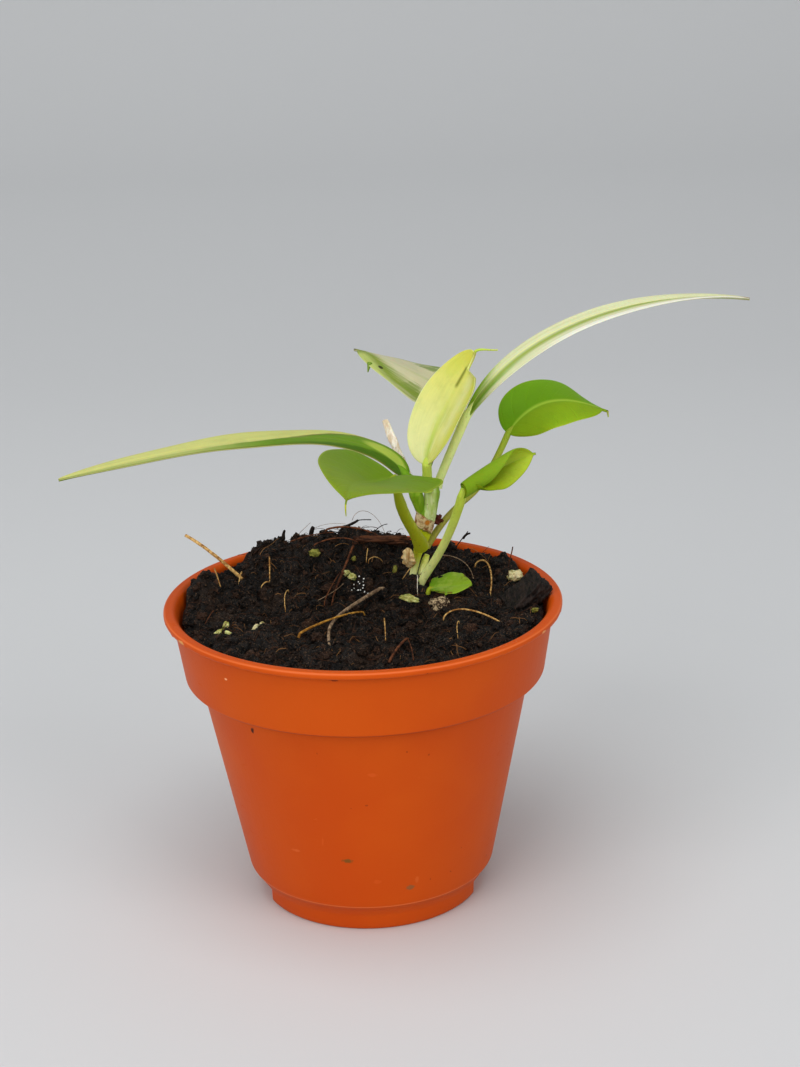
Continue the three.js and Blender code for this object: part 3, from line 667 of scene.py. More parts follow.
tone = tissue.mix(tissue.rise(fleck, 0.7, 0.76) * 0.5, tone, (104, 84, 30))
tissue.wear(tone, 0.45 + scar * 0.35, streak * 0.5 + scar * patch * 2, 0.4 * MM)

t = np.linspace(0, 1, 90)
stem_paths = [(bezier(STEM_PATH, t * STEM_TOP)[0], np.interp(t * STEM_TOP, *zip(*STEM_RADII)))]
stem_paths += [(bezier(line, t)[0], np.interp(t, *zip(*radii))) for line, radii in STEM_PARTS]
stem = stalk.run("stem_shoot", lined("stem_line", stem_paths), tissue, sides=28, knobble=0.16)
settle(stem, "stem_green", "stem")


# Leaves. Thin living blades on slender petioles, the older ones green, the strap on the right, the young leaf
# and the leaf behind with creamy sectors. Each is one piece and grows out of the stem; the petiole of the
# curled leaf and that of the low one come up through the soil.
BLADE_T = 0.42


def outline(shape, s):
    """Half-width along the rib, as a share of the greatest."""
    q = np.minimum(s / (1 - shape.get("drip", 0)), 1)
    rise, taper = shape["rise"], shape["taper"]
    peak = rise / (rise + taper)
    return q ** rise * (1 - q) ** taper / (peak ** rise * (1 - peak) ** taper)


def rib_frame(shape, s):
    """Places along the rib, its directions and the way its upper face looks."""
    middle, tangent = bezier(shape["rib"], s)
    face = [np.array(f) / np.linalg.norm(f) for f in shape["face"]]
    normal = (1 - s)[:, None] * face[0] + s[:, None] * face[1]
    normal -= tangent * (normal * tangent).sum(1)[:, None]
    return middle, tangent, normal / np.linalg.norm(normal, axis=1)[:, None]


def blade_skin(shape, steps=110):
    """Points, faces, UV places and undersides of a blade that thins towards a round margin."""
    across = shape.get("across", 15)
    t = np.linspace(0, 1, steps + 1)
    s = 0.45 * t + 0.55 * (0.5 - 0.5 * np.cos(np.pi * t))
    middle, tangent, normal = rib_frame(shape, s)
    side = np.cross(tangent, normal)
    rows = {}
    for flank, sign in ((0, -1), (1, 1)):
        a = np.sin(np.linspace(0, np.pi / 2, across + 1))[None, :]
        cut_from, cut_to, cut = shape.get("notch", ((1, 2, 0), (1, 2, 0)))[flank]
        notch = np.clip((s - cut_from) / (cut_to - cut_from), 0, 1)
        width = shape["half"][flank] * outline(shape, s) * (1 - cut * notch ** 2 * (3 - 2 * notch))
        width = (width + 0.35 - 0.2 * s ** 4)[:, None]
        fold = np.radians(np.interp(s, (0, 1), shape["fold"][flank]))[:, None]
        curl = np.radians(np.interp(s, (0, 1), shape["curl"][flank]))[:, None] + 1e-4
        lean = fold + curl * a
        out = (np.sin(lean) - np.sin(fold)) / curl * width
        up = (np.cos(fold) - np.cos(lean)) / curl * width
        lobed = np.minimum(s / shape.get("lobe_end", 1), 1)
        reach = shape.get("lobe", (0, 0))[flank] * np.sin(np.pi * lobed) ** 2
        swell, waves, start = shape.get("wave", (0.12, 2.5, flank * 1.3))
        wave = np.sin(2 * np.pi * waves * s + start + 2 * flank)[:, None]
        ripple = swell * a ** 2 * wave * np.sin(np.pi * s)[:, None]
        level, beside = normal[:, None, :], side[:, None, :]
        skin = level * np.cos(lean)[..., None] - sign * beside * np.sin(lean)[..., None]
        place = middle[:, None, :] + sign * out[..., None] * beside + up[..., None] * level
        place = place - (reach[:, None] * a ** shape.get("lobe_bend", 2))[..., None] * tangent[:, None, :]
        place = place + ripple[..., None] * skin
        half = BLADE_T / 2 * np.sqrt(1 - a ** 6) * np.ones_like(width)
        groove = 0.1 * np.exp(-((a * width / 0.35) ** 2)) * np.minimum(width, 1)
        ridge = shape.get("ridge", 0.4) * (1 - 0.75 * s)[:, None] * np.exp(-((a * width / 0.45) ** 2))
        rows[flank] = (place + skin * (half - groove)[..., None], place - skin * (half + ridge)[..., None], a)
    top = np.concatenate([rows[0][0][:, ::-1], rows[1][0][:, 1:]], 1)
    bottom = np.concatenate([rows[1][1][:, -2:0:-1], rows[0][1][:, :-1]], 1)
    a = rows[0][2][0]
    over = np.concatenate([-a[::-1], a[1:]])
    below = np.concatenate([a[-2:0:-1], -a[:-1]])
    ring = np.concatenate([top, bottom], 1)
    sides = ring.shape[1]
    points = np.vstack([ring.reshape(-1, 3), ring[0].mean(0), ring[-1].mean(0)])
    v = np.tile((1 + np.concatenate([over, below])) / 2, steps + 1)
    places = np.stack([np.repeat(s, sides), v], 1)
    places = np.vstack([places, [0, 0.5], [1, 0.5]])
    under = np.tile([0.0] * len(over) + [1.0] * len(below), steps + 1)
    return points, skinned(steps + 1, sides), places, np.append(under, [0, 0])


def grow_leaf(name, shape, blade_finish, stalk_finish, slot, *nodes):
    """One leaf: the blade, its petiole running on under the rib, joined by the stalk rule."""
    points, faces, places, under = blade_skin(shape)
    lines = []
    if "from" in shape:
        t = np.linspace(0, 1, 44)
        petiole = bezier([*shape["from"], shape["rib"][0]], t)[0]
        radii = np.interp(t, *zip(*shape["radii"]))
        s = np.linspace(0, shape.get("keel", 0.3), 16)[1:]
        middle, _, normal = rib_frame(shape, s)
        taper = np.linspace(radii[-1], 0.2, 16)[1:]
        sunk = taper * 0.85 * np.minimum(s / 0.06, 1)
        lines.append((np.vstack([petiole, middle - normal * sunk[:, None]]), np.append(radii, taper)))
    for line, size in shape.get("threads", ()):
        corners = [shape["rib"][3] if p is None else p for p in line]
        lines.append((bezier(corners, np.linspace(0, 1, 20))[0], np.linspace(*size, 20)))
    mesh = lined(name, lines, (points, faces))
    corners = np.zeros(len(mesh.loops), int)
    mesh.loops.foreach_get("vertex_index", corners)
    mesh.uv_layers.new(name="blade").data.foreach_set("uv", places[corners].ravel())
    under = np.append(under, np.zeros(len(mesh.vertices) - len(points)))
    mesh.attributes.new("under", "FLOAT", "POINT").data.foreach_set("value", under)
    mesh.polygons.foreach_set("use_smooth", [True] * len(mesh.polygons))
    mesh.materials.append(blade_finish.material)
    settle(stalk.run(name, mesh, stalk_finish, sides=20, knobble=0.1), slot, *nodes)


class Blade(Finish):
    """The finish of a living blade. u runs along the rib, v across it, and off is the distance from it."""

    def __init__(self, name):
        super().__init__(name, Specular_IOR_Level=0.22, Subsurface_Weight=0.12, Subsurface_Scale=0.0012)
        place = self.node("ShaderNodeUVMap", {"uv_map": "blade"})
        self.u, self.v = self.part(place, 0), self.part(place, 1)
        self.off = self.maths("ABSOLUTE", self.v - 0.5) * 2
        self.cloud = self.noise(self.place, 260, 3, 0.6)
        self.sway = self.cloud - 0.5
        combed = self.node("ShaderNodeCombineXYZ", {}, {0: self.u * 3, 1: self.v * 24})
        self.thread = self.noise(combed, 1, 3, 0.6)
        self.fray = self.thread - 0.5

    def spot(self, u, v, at, size):
        """1 at a place on the blade, falling to 0 at its edge."""
        across = (self.maths("ABSOLUTE", u - at[0]) / size[0]) ** 2.0
        along = (self.maths("ABSOLUTE", v - at[1]) / size[1]) ** 2.0
        return self.rise(across + along, 0.4, 1.2, 1, 0)


def leaf_finish(name, foot, tip, under, rib, rim, patches=(), veins=9, slope=2.2, gloss=0.42, mottle=0.25,
                streaks=0.0, rib_share=0.5, comb_share=0.1):
    """A living blade: colour from foot to tip, sectors, mottling, streaks, veins, rib, rim and underside."""
    leaf = Blade(name)
    off, cloud, thread = leaf.off, leaf.cloud, leaf.thread
    fine = leaf.noise(leaf.place, 2400, 2, 0.6)
    tone = leaf.mix(leaf.rise(leaf.u, 0.05, 0.85), foot, tip)
    for shade, mask in patches:
        tone = leaf.mix(mask(leaf), tone, shade)
    paler = leaf.mix(1.0, tone, (1.3, 1.24, 1.1, 1), "MULTIPLY")
    darker = leaf.mix(1.0, tone, (0.7, 0.76, 0.66, 1), "MULTIPLY")
    slant = off * slope * (0.4 + 0.25 * veins / 9)
    comb = leaf.maths("PINGPONG", leaf.u * veins - slant + leaf.sway * 0.25, 0.5)
    comb = leaf.rise(comb, 0.4, 0.5) * leaf.rise(off, 0.06, 0.2) * leaf.rise(off, 0.8, 0.98, 1, 0)
    beneath = leaf.carried("under")
    for share, shade in [
        (leaf.rise(cloud, 0.52, 0.78) * mottle, paler), (leaf.rise(cloud, 0.5, 0.28) * mottle, darker),
        (leaf.rise(thread, 0.48, 0.7) * streaks, paler), (leaf.rise(thread, 0.5, 0.3) * streaks, darker),
        (leaf.rise(fine, 0.62, 0.74) * 0.16, paler), (comb * comb_share, paler),
        (leaf.line(leaf.v, 0.5, 0.045) * rib_share, rib), (leaf.rise(off, 0.955, 0.99) * 0.55, rim),
        (leaf.rise(beneath, 0.3, 0.7) * 0.6, under),
    ]:
        tone = leaf.mix(share, tone, shade)
    relief = fine * 0.3 - comb * comb_share * 3 + cloud * 0.8 + thread * streaks
    leaf.wear(tone, gloss + cloud * 0.14 + beneath * 0.15, relief, 0.12 * MM)
    return leaf


def petiole_finish(name, foot, top):
    """A petiole: green from foot to top, with fine streaks and a few dots."""
    made = Finish(name, Specular_IOR_Level=0.22, Subsurface_Weight=0.12, Subsurface_Scale=0.001)
    streak = made.noise(made.stretched(1500, 1500, 260), 1, 3, 0.6)
    dots = made.noise(made.place, 1900, 1)
    tone = made.mix(made.rise(made.carried("along"), 0.1, 0.9), foot, top)
    paler = made.mix(1.0, tone, (1.3, 1.22, 1.15, 1), "MULTIPLY")
    tone = made.mix(made.rise(streak, 0.45, 0.75) * 0.35, tone, paler)
    tone = made.mix(made.rise(dots, 0.7, 0.76) * 0.45, tone, (96, 84, 36))
    made.wear(tone, 0.38 + streak * 0.15, streak, 0.15 * MM)
    return made


olive_blade = leaf_finish(
    "leaf_olive", (186, 194, 92), (198, 198, 134), (84, 118, 26), (190, 192, 110),
    (206, 204, 140), veins=16, slope=5, mottle=0.3, streaks=0.3, rib_share=0.1, comb_share=0.03,
    patches=[
        ((198, 202, 122), lambda leaf: leaf.rise(leaf.u + leaf.cloud * 0.2, 0.3, 0.55) * 0.8),
        ((104, 140, 26), lambda leaf:
            leaf.rise(leaf.v + leaf.sway * 0.1 - leaf.rise(leaf.u, 0.12, 0.6, 0.97, 0.36), 0.04, -0.04)
            * leaf.rise(leaf.u, 0.75, 0.5, 0.35, 1)),
        ((72, 108, 14), lambda leaf:
            leaf.rise(leaf.v + leaf.sway * 0.1 - leaf.rise(leaf.u, 0.04, 0.42, 0.5, 0.2), 0.06, -0.1)
            * leaf.rise(leaf.u, 0.6, 0.35)),
        # Painted highlight: a paler spot near the foot of the strap's blade.
        ((176, 192, 88), lambda leaf:
            leaf.spot(leaf.u, leaf.v + leaf.fray * 0.2, (0.12, 0.66), (0.11, 0.2)) * 0.75),
        ((94, 96, 34), lambda leaf:
            leaf.line(leaf.v + leaf.sway * 0.05 - leaf.rise(leaf.u, 0.12, 0.6, 0.97, 0.36), 0, 0.05)
            * leaf.rise(leaf.u, 0.02, 0.1) * leaf.rise(leaf.u, 0.6, 0.4) * 0.7),
        ((104, 112, 38), lambda leaf: leaf.rise(leaf.v, 0.1, 0.02) * 0.8),
    ])
olive_stalk = petiole_finish("petiole_olive", (112, 156, 20), (104, 142, 24))
grow_leaf("leaf_strap_left_blade", {
    "from": [(11, 10.4, 76.2), (10.9, 9.9, 77.6), (9.9, 9, 78.7)], "radii": [(0, 1.1), (1, 0.85)],
    "rib": [(9.1, 8.3, 79.4), (1.3, 10, 92.4), (-26.2, -1, 90.2), (-54.3, -6, 85.4)],
    "face": [(-0.36, -0.47, 0.8), (0.07, -0.13, 1)], "half": (2.9, 4.8), "rise": 0.56, "taper": 0.6,
    "fold": [(4, 12), (-15, -4)], "curl": [(-4, 5), (-18, 3)], "wave": (0.15, 3, 0.5), "keel": 0.2,
}, olive_blade, olive_stalk, "leaf_olive", "leaf_strap_left")

cream_blade = leaf_finish(
    "leaf_cream", (140, 180, 40), (208, 206, 178), (176, 186, 120), (222, 224, 140),
    (220, 220, 204), veins=18, slope=6, mottle=0.12, streaks=0.3, rib_share=0.9, comb_share=0.03,
    patches=[
        ((204, 208, 170), lambda leaf: leaf.rise(leaf.u + leaf.fray * 0.25 + leaf.v * 0.12, 0.12, 0.26)),
        ((150, 168, 76), lambda leaf: leaf.line(leaf.v + leaf.fray * 0.06, 0.66, 0.15)
            * leaf.rise(leaf.u, 0.02, 0.1) * leaf.rise(leaf.u, 0.7, 0.95, 1, 0) * 0.95),
        ((120, 160, 40), lambda leaf: leaf.line(leaf.v + leaf.fray * 0.06, 0.76, 0.14)
            * leaf.rise(leaf.u, 0.34, 0.12) * 0.9),
        ((230, 230, 220), lambda leaf: leaf.rise(leaf.v, 0.84, 0.9) * leaf.rise(leaf.u, 0.3, 0.5) * 0.8),
        ((186, 192, 130), lambda leaf: leaf.line(leaf.v, 0.25, 0.1) * leaf.rise(leaf.u, 0.05, 0.2)
            * leaf.rise(leaf.u, 0.3, 0.75, 1, 0) * 0.4),
        ((160, 140, 116), lambda leaf: leaf.rise(leaf.u, 0.965, 0.995) * 0.9),
    ])
cream_stalk = petiole_finish("petiole_cream", (238, 250, 168), (242, 252, 160))
grow_leaf("leaf_strap_right_blade", {
    "from": [(14.8, 11.4, 76.2), (15.7, 11.9, 78.4), (17.8, 13.8, 82.5)],
    "radii": [(0, 1.1), (0.2, 0.8), (0.5, 0.85), (1, 0.9)],
    "rib": [(20.9, 15.8, 88.7), (28.8, 19, 104.2), (52.5, 21.8, 111.6), (76.9, 26, 107.7)],
    "face": [(-0.65, -0.66, 0.38), (0.05, -0.28, 0.96)], "half": (1.3, 3.6), "rise": 0.64, "taper": 0.65,
    "fold": [(7, 15), (2, 32)], "curl": [(0, 0), (0, 0)], "wave": (0.1, 2, 0), "keel": 0.25,
}, cream_blade, cream_stalk, "leaf_cream", "leaf_strap_right")

yellow_blade = leaf_finish(
    "leaf_yellow", (218, 220, 160), (210, 210, 104), (200, 206, 120), (190, 202, 80),
    (228, 230, 182), veins=10, mottle=0.3, streaks=0.16, rib_share=0.3, comb_share=0.02,
    patches=[
        ((204, 206, 104), lambda leaf: leaf.rise(leaf.v + leaf.sway * 0.2, 0.5, 0.62) * 0.75),
        ((196, 202, 64), lambda leaf: leaf.rise(leaf.v + leaf.sway * 0.3, 0.76, 0.95) * 0.7),
        ((176, 194, 58), lambda leaf: leaf.line(leaf.v + leaf.fray * 0.3, 0.5, 0.13)
            * leaf.rise(leaf.u, 0.6, 0.1) * 0.75),
        ((220, 220, 176), lambda leaf: leaf.line(leaf.v + leaf.sway * 0.2, 0.68, 0.14)
            * leaf.rise(leaf.u, 0.12, 0.3) * 0.4),
        ((206, 206, 84), lambda leaf: leaf.rise(leaf.u + leaf.sway * 0.2, 0.68, 0.9) * 0.8),
        ((186, 200, 66), lambda leaf:
            leaf.spot(leaf.u + leaf.sway * 0.2, leaf.v + leaf.sway * 0.4, (0.72, 0.22), (0.1, 0.17)) * 0.25),
        # Painted shadow: a dark line in the slit between the rib and the curled lobe of the young leaf.
        ((110, 110, 40), lambda leaf: leaf.line(leaf.v, 0.49, 0.045) * leaf.rise(leaf.u, 0.58, 0.62)
            * leaf.rise(leaf.u, 0.8, 0.76)),
    ])
yellow_stalk = petiole_finish("petiole_yellow", (186, 210, 84), (192, 206, 90))
grow_leaf("leaf_young_blade", {
    "from": [(13.1, 8.8, 76.2), (12.9, 8.8, 77.8), (13, 8.3, 79.8)], "radii": [(0, 1), (1, 0.9)],
    "rib": [(12.9, 7.5, 81.9), (13.2, 9.4, 88.3), (22.3, 17.7, 98.2), (22.7, 13.4, 102)],
    "face": [(-0.45, -0.89, 0.11), (-0.58, -0.37, 0.73)], "half": (7.1, 8.7), "rise": 0.64, "taper": 0.69,
    "fold": [(-17, 0), (26, -15)], "curl": [(8, 10), (32, 74)], "drip": 0.05, "wave": (0.15, 2, 1),
    "notch": [(1, 2, 0), (0.74, 0.77, 0.98)],
    "threads": [([None, (23.6, 13.1, 102.8), (25, 12.6, 102.3), (26.9, 12, 102.5)], (0.28, 0.12))],
}, yellow_blade, yellow_stalk, "leaf_yellow", "leaf_young")

mottled_blade = leaf_finish(
    "leaf_variegated", (190, 188, 152), (196, 194, 160), (180, 190, 136), (160, 172, 104),
    (206, 208, 176), veins=9, mottle=0.2, streaks=0.2, rib_share=0.25, comb_share=0.05,
    patches=[
        ((176, 188, 110), lambda leaf:
            leaf.rise(leaf.v - leaf.rise(leaf.u, 0.45, 0.95, 0.1, 0.48), -0.02, -0.12)
            * leaf.rise(leaf.u, 0.35, 0.5)),
        ((128, 146, 56), lambda leaf:
            leaf.line(leaf.v - leaf.rise(leaf.u, 0.45, 0.95, 0.12, 0.48) + leaf.fray * 0.3, 0.0, 0.22)),
        ((120, 138, 50), lambda leaf: leaf.rise(leaf.u + leaf.fray * 0.1, 0.84, 0.92) * 0.8),
        ((140, 156, 84), lambda leaf: leaf.rise(leaf.thread, 0.56, 0.7)
            * leaf.rise(leaf.v, 0.62, 0.4) * 0.8),
        ((132, 150, 88), lambda leaf: leaf.rise(leaf.v + leaf.sway * 0.1, 0.9, 0.96) * 0.85),
        ((60, 62, 28), lambda leaf: leaf.spot(leaf.u, leaf.v, (0.635, 0.17), (0.025, 0.04))),
        ((118, 140, 60), lambda leaf:
            leaf.spot(leaf.u + leaf.sway * 0.2, leaf.v + leaf.fray * 0.4, (0.36, 0.2), (0.07, 0.1)) * 0.6),
        ((108, 132, 54), lambda leaf:
            leaf.spot(leaf.u + leaf.sway * 0.3, leaf.v + leaf.fray * 0.4, (0.39, 0.86), (0.1, 0.1)) * 0.8),
        ((86, 88, 46), lambda leaf: leaf.rise(leaf.u, 0.955, 0.985) * 0.9),
    ])
mottled_stalk = petiole_finish("petiole_back", (120, 146, 50), (128, 154, 60))
grow_leaf("leaf_back_blade", {
    "from": [(12.4, 12.8, 76.2), (13.2, 15.4, 79.7), (16, 20.4, 85.2)], "radii": [(0, 0.65), (1, 0.75)],
    "rib": [(20.8, 22.7, 90.6), (14, 26.7, 93.4), (5.4, 29.5, 98.3), (0, 36, 97.9)],
    "face": [(0.16, -0.43, 0.89), (-0.33, 0.13, 0.94)], "half": (6.8, 7.7), "rise": 0.3, "taper": 0.76,
    "fold": [(-9, 6), (-2, -30)], "curl": [(0, 0), (0, 0)], "lobe": (0.2, 1), "lobe_end": 0.24, "drip": 0.05,
    "threads": [([(2.9, 28.4, 96.9), (2.8, 28, 96.4), (2.6, 27.7, 95.8), (2.5, 27.6, 95.2)], (0.5, 0.08))],
}, mottled_blade, mottled_stalk, "leaf_variegated", "leaf_back")

green_blade = leaf_finish(
    "leaf_green", (106, 138, 20), (126, 150, 26), (128, 150, 44), (134, 160, 46),
    (150, 168, 56), veins=9, mottle=0.35, rib_share=0.35)
green_stalk = petiole_finish("petiole_green", (176, 182, 36), (146, 162, 34))
grow_leaf("leaf_front_blade", {
    "from": [(11.6, 9.3, 65), (10.2, 5.9, 70.2), (7.6, 1.9, 72.8)],
    "radii": [(0, 1.5), (0.3, 1.08), (0.75, 1.05), (1, 0.5)],
    "rib": [(6.6, -1.6, 82.5), (-0.2, -9.6, 82.2), (-1.3, -17.5, 88.5), (-2.4, -28, 85.8)],
    "face": [(0.31, -0.15, 0.94), (0.19, -0.55, 0.81)], "half": (11.6, 10), "rise": 0.36, "taper": 0.94,
    "fold": [(38, 3), (17, 2)], "curl": [(-15, 2), (-15, -4)], "lobe": (3.4, 0.9), "lobe_end": 0.3,
    "drip": 0.06, "keel": 0.12,
    "threads": [([None, (-2.5, -28.4, 85), (-2.4, -28.4, 84.4), (-2.4, -28.3, 83.8)], (0.16, 0.08))],
}, green_blade, green_stalk, "leaf_green", "leaf_front")

bright_blade = leaf_finish(
    "leaf_bright", (110, 160, 3), (122, 168, 4), (128, 156, 40), (176, 206, 70),
    (166, 186, 50), veins=9, mottle=0.25, gloss=0.5, rib_share=0.8,
    patches=[((138, 168, 22), lambda leaf: leaf.rise(leaf.v, 0.5, 0.56) * 0.85),
             ((70, 84, 34), lambda leaf: leaf.rise(leaf.u, 0.96, 0.99))])
bright_stalk = petiole_finish("petiole_thin", (168, 166, 72), (156, 178, 50))
grow_leaf("leaf_right_blade", {
    "from": [(12.6, 11.7, 64), (20.5, 16.5, 75.5), (21.8, 16.9, 68.1)],
    "radii": [(0, 0.7), (0.3, 0.6), (1, 0.65)],
    "rib": [(29.4, 21.6, 83.5), (36.3, 23.2, 93.3), (45.2, 21.6, 88.6), (48.9, 21.8, 87.3)],
    "face": [(-0.01, -0.48, 0.88), (0.06, -0.12, 0.99)], "half": (9, 7.6), "rise": 0.6, "taper": 0.76,
    "fold": [(9, -20), (1, -1)], "curl": [(-5, -14), (-7, -8)], "lobe": (0.5, 0.2), "lobe_end": 0.27,
    "drip": 0.08,
    "threads": [([None, (48.9, 21.8, 86.9), (49, 21.7, 86.5), (49, 21.7, 86.1)], (0.22, 0.1))],
}, bright_blade, bright_stalk, "leaf_green", "leaf_right")

rolled_blade = leaf_finish(
    "leaf_rolled", (140, 162, 14), (164, 184, 46), (104, 144, 16), (150, 172, 50),
    (110, 140, 24), veins=9, mottle=0.3, rib_share=0.3)
rolled_stalk = petiole_finish("petiole_light", (228, 234, 160), (190, 210, 78))
grow_leaf("leaf_curled_blade", {
    "from": [(11.2, 7.6, 54.5), (9.8, 9.9, 59.7), (14.9, 4.2, 60.8)],
    "radii": [(0, 0.8), (0.8, 0.8), (1, 0.9)],
    "rib": [(19.3, 0.1, 78.6), (20.8, 4.4, 78.5), (29.9, 9.5, 82.1), (33.5, 8.2, 83.1)],
    "face": [(-0.6, -0.57, 0.56), (0.01, -0.99, 0.16)], "half": (5.9, 4.5), "rise": 0.39, "taper": 0.76,
    "fold": [(63, -19), (4, 32)], "curl": [(297, 48), (9, -11)], "lobe": (4.6, 0.8), "lobe_end": 0.34,
    "drip": 0.04, "lobe_bend": 0.6, "across": 24, "keel": 0.15,
}, rolled_blade, rolled_stalk, "leaf_green", "leaf_curled")

low_blade = leaf_finish(
    "leaf_low", (118, 156, 24), (146, 176, 46), (120, 156, 50), (150, 186, 66),
    (150, 178, 60), veins=8, mottle=0.5, rib_share=0.4,
    patches=[
        ((166, 184, 84), lambda leaf: leaf.rise(leaf.cloud, 0.5, 0.62) * 0.5),
        ((110, 84, 30), lambda leaf: leaf.rise(leaf.cloud, 0.4, 0.34)
            * leaf.rise(leaf.off, 0.3, 0.9) * 0.8),
    ])
grow_leaf("leaf_low_blade", {
    "from": [(12.9, 3.9, 52), (12.6, 4.2, 54), (11.9, 4.8, 57)], "radii": [(0, 0.5), (1, 0.5)],
    "rib": [(12.9, 5.3, 57.8), (17.4, 6, 58.2), (16.6, 4.9, 58), (20.8, 3.7, 59.1)],
    "face": [(-0.05, -0.28, 0.96), (-0.06, -0.42, 0.9)], "half": (4.1, 3.4), "rise": 0.5, "taper": 0.68,
    "fold": [(-4, 0), (18, 6)], "curl": [(0, 0), (3, 8)], "lobe": (0.5, 0.1), "lobe_end": 0.25,
    "wave": (0.12, 3, 0.5),
}, low_blade, green_stalk, "leaf_green", "leaf_low")


# Dry remains on the shoot. Papery dead tissue the plant has kept: the withered tip of an old petiole behind
# the left strap, the husk of a scale leaf at the stem's foot, a brown shred in the crown, and one bare root.
def papery(name, dark, light):
    """Dead tissue: creased along its length, with brown blots."""
    made = Finish(name, Specular_IOR_Level=0.2, Subsurface_Weight=0.1, Subsurface_Scale=0.0008)
    crease = made.noise(made.stretched(1500, 1500, 300), 1, 3, 0.6)
    blot = made.noise(made.place, 900, 3, 0.6)
    tone = made.mix(made.rise(crease, 0.35, 0.65), dark, light)
    tone = made.mix(made.rise(blot, 0.66, 0.72) * 0.75, tone, (78, 48, 26))
    made.wear(tone, 0.62 + crease * 0.2, crease + blot * 0.5, 0.3 * MM)
    return made


white_papery = papery("papery_white", (214, 198, 170), (244, 238, 224))
grow_leaf("dried_tip", {
    "rib": [(10.4, 11.4, 76.6), (8.8, 12.4, 79.2), (7.2, 14.2, 83.4), (5.3, 15.8, 88.7)],
    "face": [(-0.3, -0.95, 0), (-0.2, -0.95, 0.2)], "half": (0.5, 0.6), "rise": 0.4, "taper": 0.15,
    "fold": [(0, 10), (0, 10)], "curl": [(-30, -50), (-30, -50)], "wave": (0.2, 4, 0), "ridge": 0.15,
}, white_papery, white_papery, "papery", "dried_stub")
gold_papery = papery("papery_gold", (180, 140, 80), (236, 214, 164))
grow_leaf("scale_husk", {
    "rib": [(9.6, 9.4, 61), (8.6, 8, 62), (8.5, 7.9, 63.8), (9.3, 7.9, 65.2)],
    "face": [(-0.4, -0.9, 0.2), (-0.4, -0.9, 0.2)], "half": (0.9, 1.2), "rise": 0.35, "taper": 0.4,
    "fold": [(-5, 10), (-5, 10)], "curl": [(-30, -20), (-30, -20)], "wave": (0.3, 4, 0.7), "ridge": 0.1,
}, gold_papery, gold_papery, "papery", "base_scale")


def lump(name, at, size, turn, rough, finish, slot, *nodes, square=0.55, detail=4):
    """A rough lump with flattish faces: a ball squared off, knocked about by coarse and fine noise."""
    ball = bmesh.new()
    bmesh.ops.create_icosphere(ball, subdivisions=detail, radius=1)
    spin = Euler([math.radians(a) for a in turn]).to_matrix()
    at = Vector(at)
    for vert in ball.verts:
        p = vert.co.copy()
        box = 1 / max(abs(c) for c in p)
        coarse, middling, fine = noise.noise(p * 1.7 + at), noise.noise(p * 4.5), noise.noise(p * 11)
        knock = 1 + rough * (0.9 * coarse + 0.4 * middling + 0.15 * fine)
        p *= (1 - square + square * box) * knock
        vert.co = (spin @ Vector(c * s for c, s in zip(p, size)) + at) * MM
    mesh = bpy.data.meshes.new(name)
    ball.to_mesh(mesh)
    ball.free()
    mesh.polygons.foreach_set("use_smooth", [True] * len(mesh.polygons))
    mesh.materials.append(finish.material)
    settle(placed(name, mesh), slot, *nodes)


def grainy(name, dark, light, scale, detail, edges, rough, height, **constants):
    """Two-toned matter: one noise colours it, roughens it and raises its grain, the height in mm."""
    made = Finish(name, **constants)
    if isinstance(scale, tuple):
        grain = made.noise(made.stretched(*scale), 1, *detail)
    else:
        grain = made.noise(made.place, scale, *detail)
    tone = made.mix(made.rise(grain, *edges) if edges else grain, dark, light)
    made.wear(tone, rough[0] + grain * rough[1], grain, height * MM)
    return made


shred = grainy("shred", (50, 20, 14), (120, 56, 42), 1400, (3,), None, (0.6, 0.2), 0.3,
               Specular_IOR_Level=0.2)
lump("crown_shred", (14.9, 11.6, 69.7), (0.9, 0.5, 0.8), (0, 24, 30), 0.9, shred, "papery")
root = bezier([(10.6, 8.3, 59.6), (10.7, 6.2, 60), (10.3, 5, 59), (10.5, 4, 56.6)], np.linspace(0, 1, 24))[0]
root_line = lined("root_line", [(root, np.linspace(0.1, 0.05, 24))])
settle(stalk.run("bare_root", root_line, white_papery, sides=10, knobble=0.3), "papery")


# Bark and grit in the peat. Two bits of composted bark, a charred wedge at the right rim and a long chip that
# lies on the heap, with crumbs of pumice, husks of seed and specks of perlite, all loose in the mix.
bark = grainy("bark", (7, 5, 4), (54, 42, 36), (1500, 500, 700), (4, 0.65), (0.35, 0.7), (0.45, 0.35), 0.6,
              Specular_IOR_Level=0.3)
lump("bark_wedge", (30.7, 0.4, 57.7), (4.3, 3, 1.6), (8, -42, 14), 0.2, bark, "bark", "bark_chunk",
     square=0.95, detail=5)
chip = grainy("chip_bark", (44, 22, 14), (116, 74, 50), (160, 1300, 1300), (4, 0.65), (0.35, 0.65),
              (0.55, 0.3), 0.5, Specular_IOR_Level=0.22)
lump("bark_flake", (4, 21.2, 62.6), (5.3, 1.6, 0.95), (-24, 4, 8), 0.3, chip, "bark", "bark_chip", detail=5)
pumice = grainy("pumice", (60, 40, 26), (214, 192, 154), 1800, (3, 0.7), (0.42, 0.6), (0.8, 0.1), 0.5,
                Specular_IOR_Level=0.3)
lump("pumice_crumb", (14.4, -0.3, 56.7), (1.7, 1.3, 1.2), (10, 0, 20), 0.5, pumice, "crumb", "crumb_beige")
cream = grainy("pale_crumb", (148, 134, 78), (224, 214, 170), 900, (3, 0.6), (0.35, 0.6), (0.75, 0.1), 0.4,
               Specular_IOR_Level=0.3, Subsurface_Weight=0.1, Subsurface_Scale=0.001)
lump("pale_crumb", (29.8, 11.4, 57.6), (1.5, 1.1, 1), (0, 10, 30), 0.45, cream, "crumb", "crumb_cream")

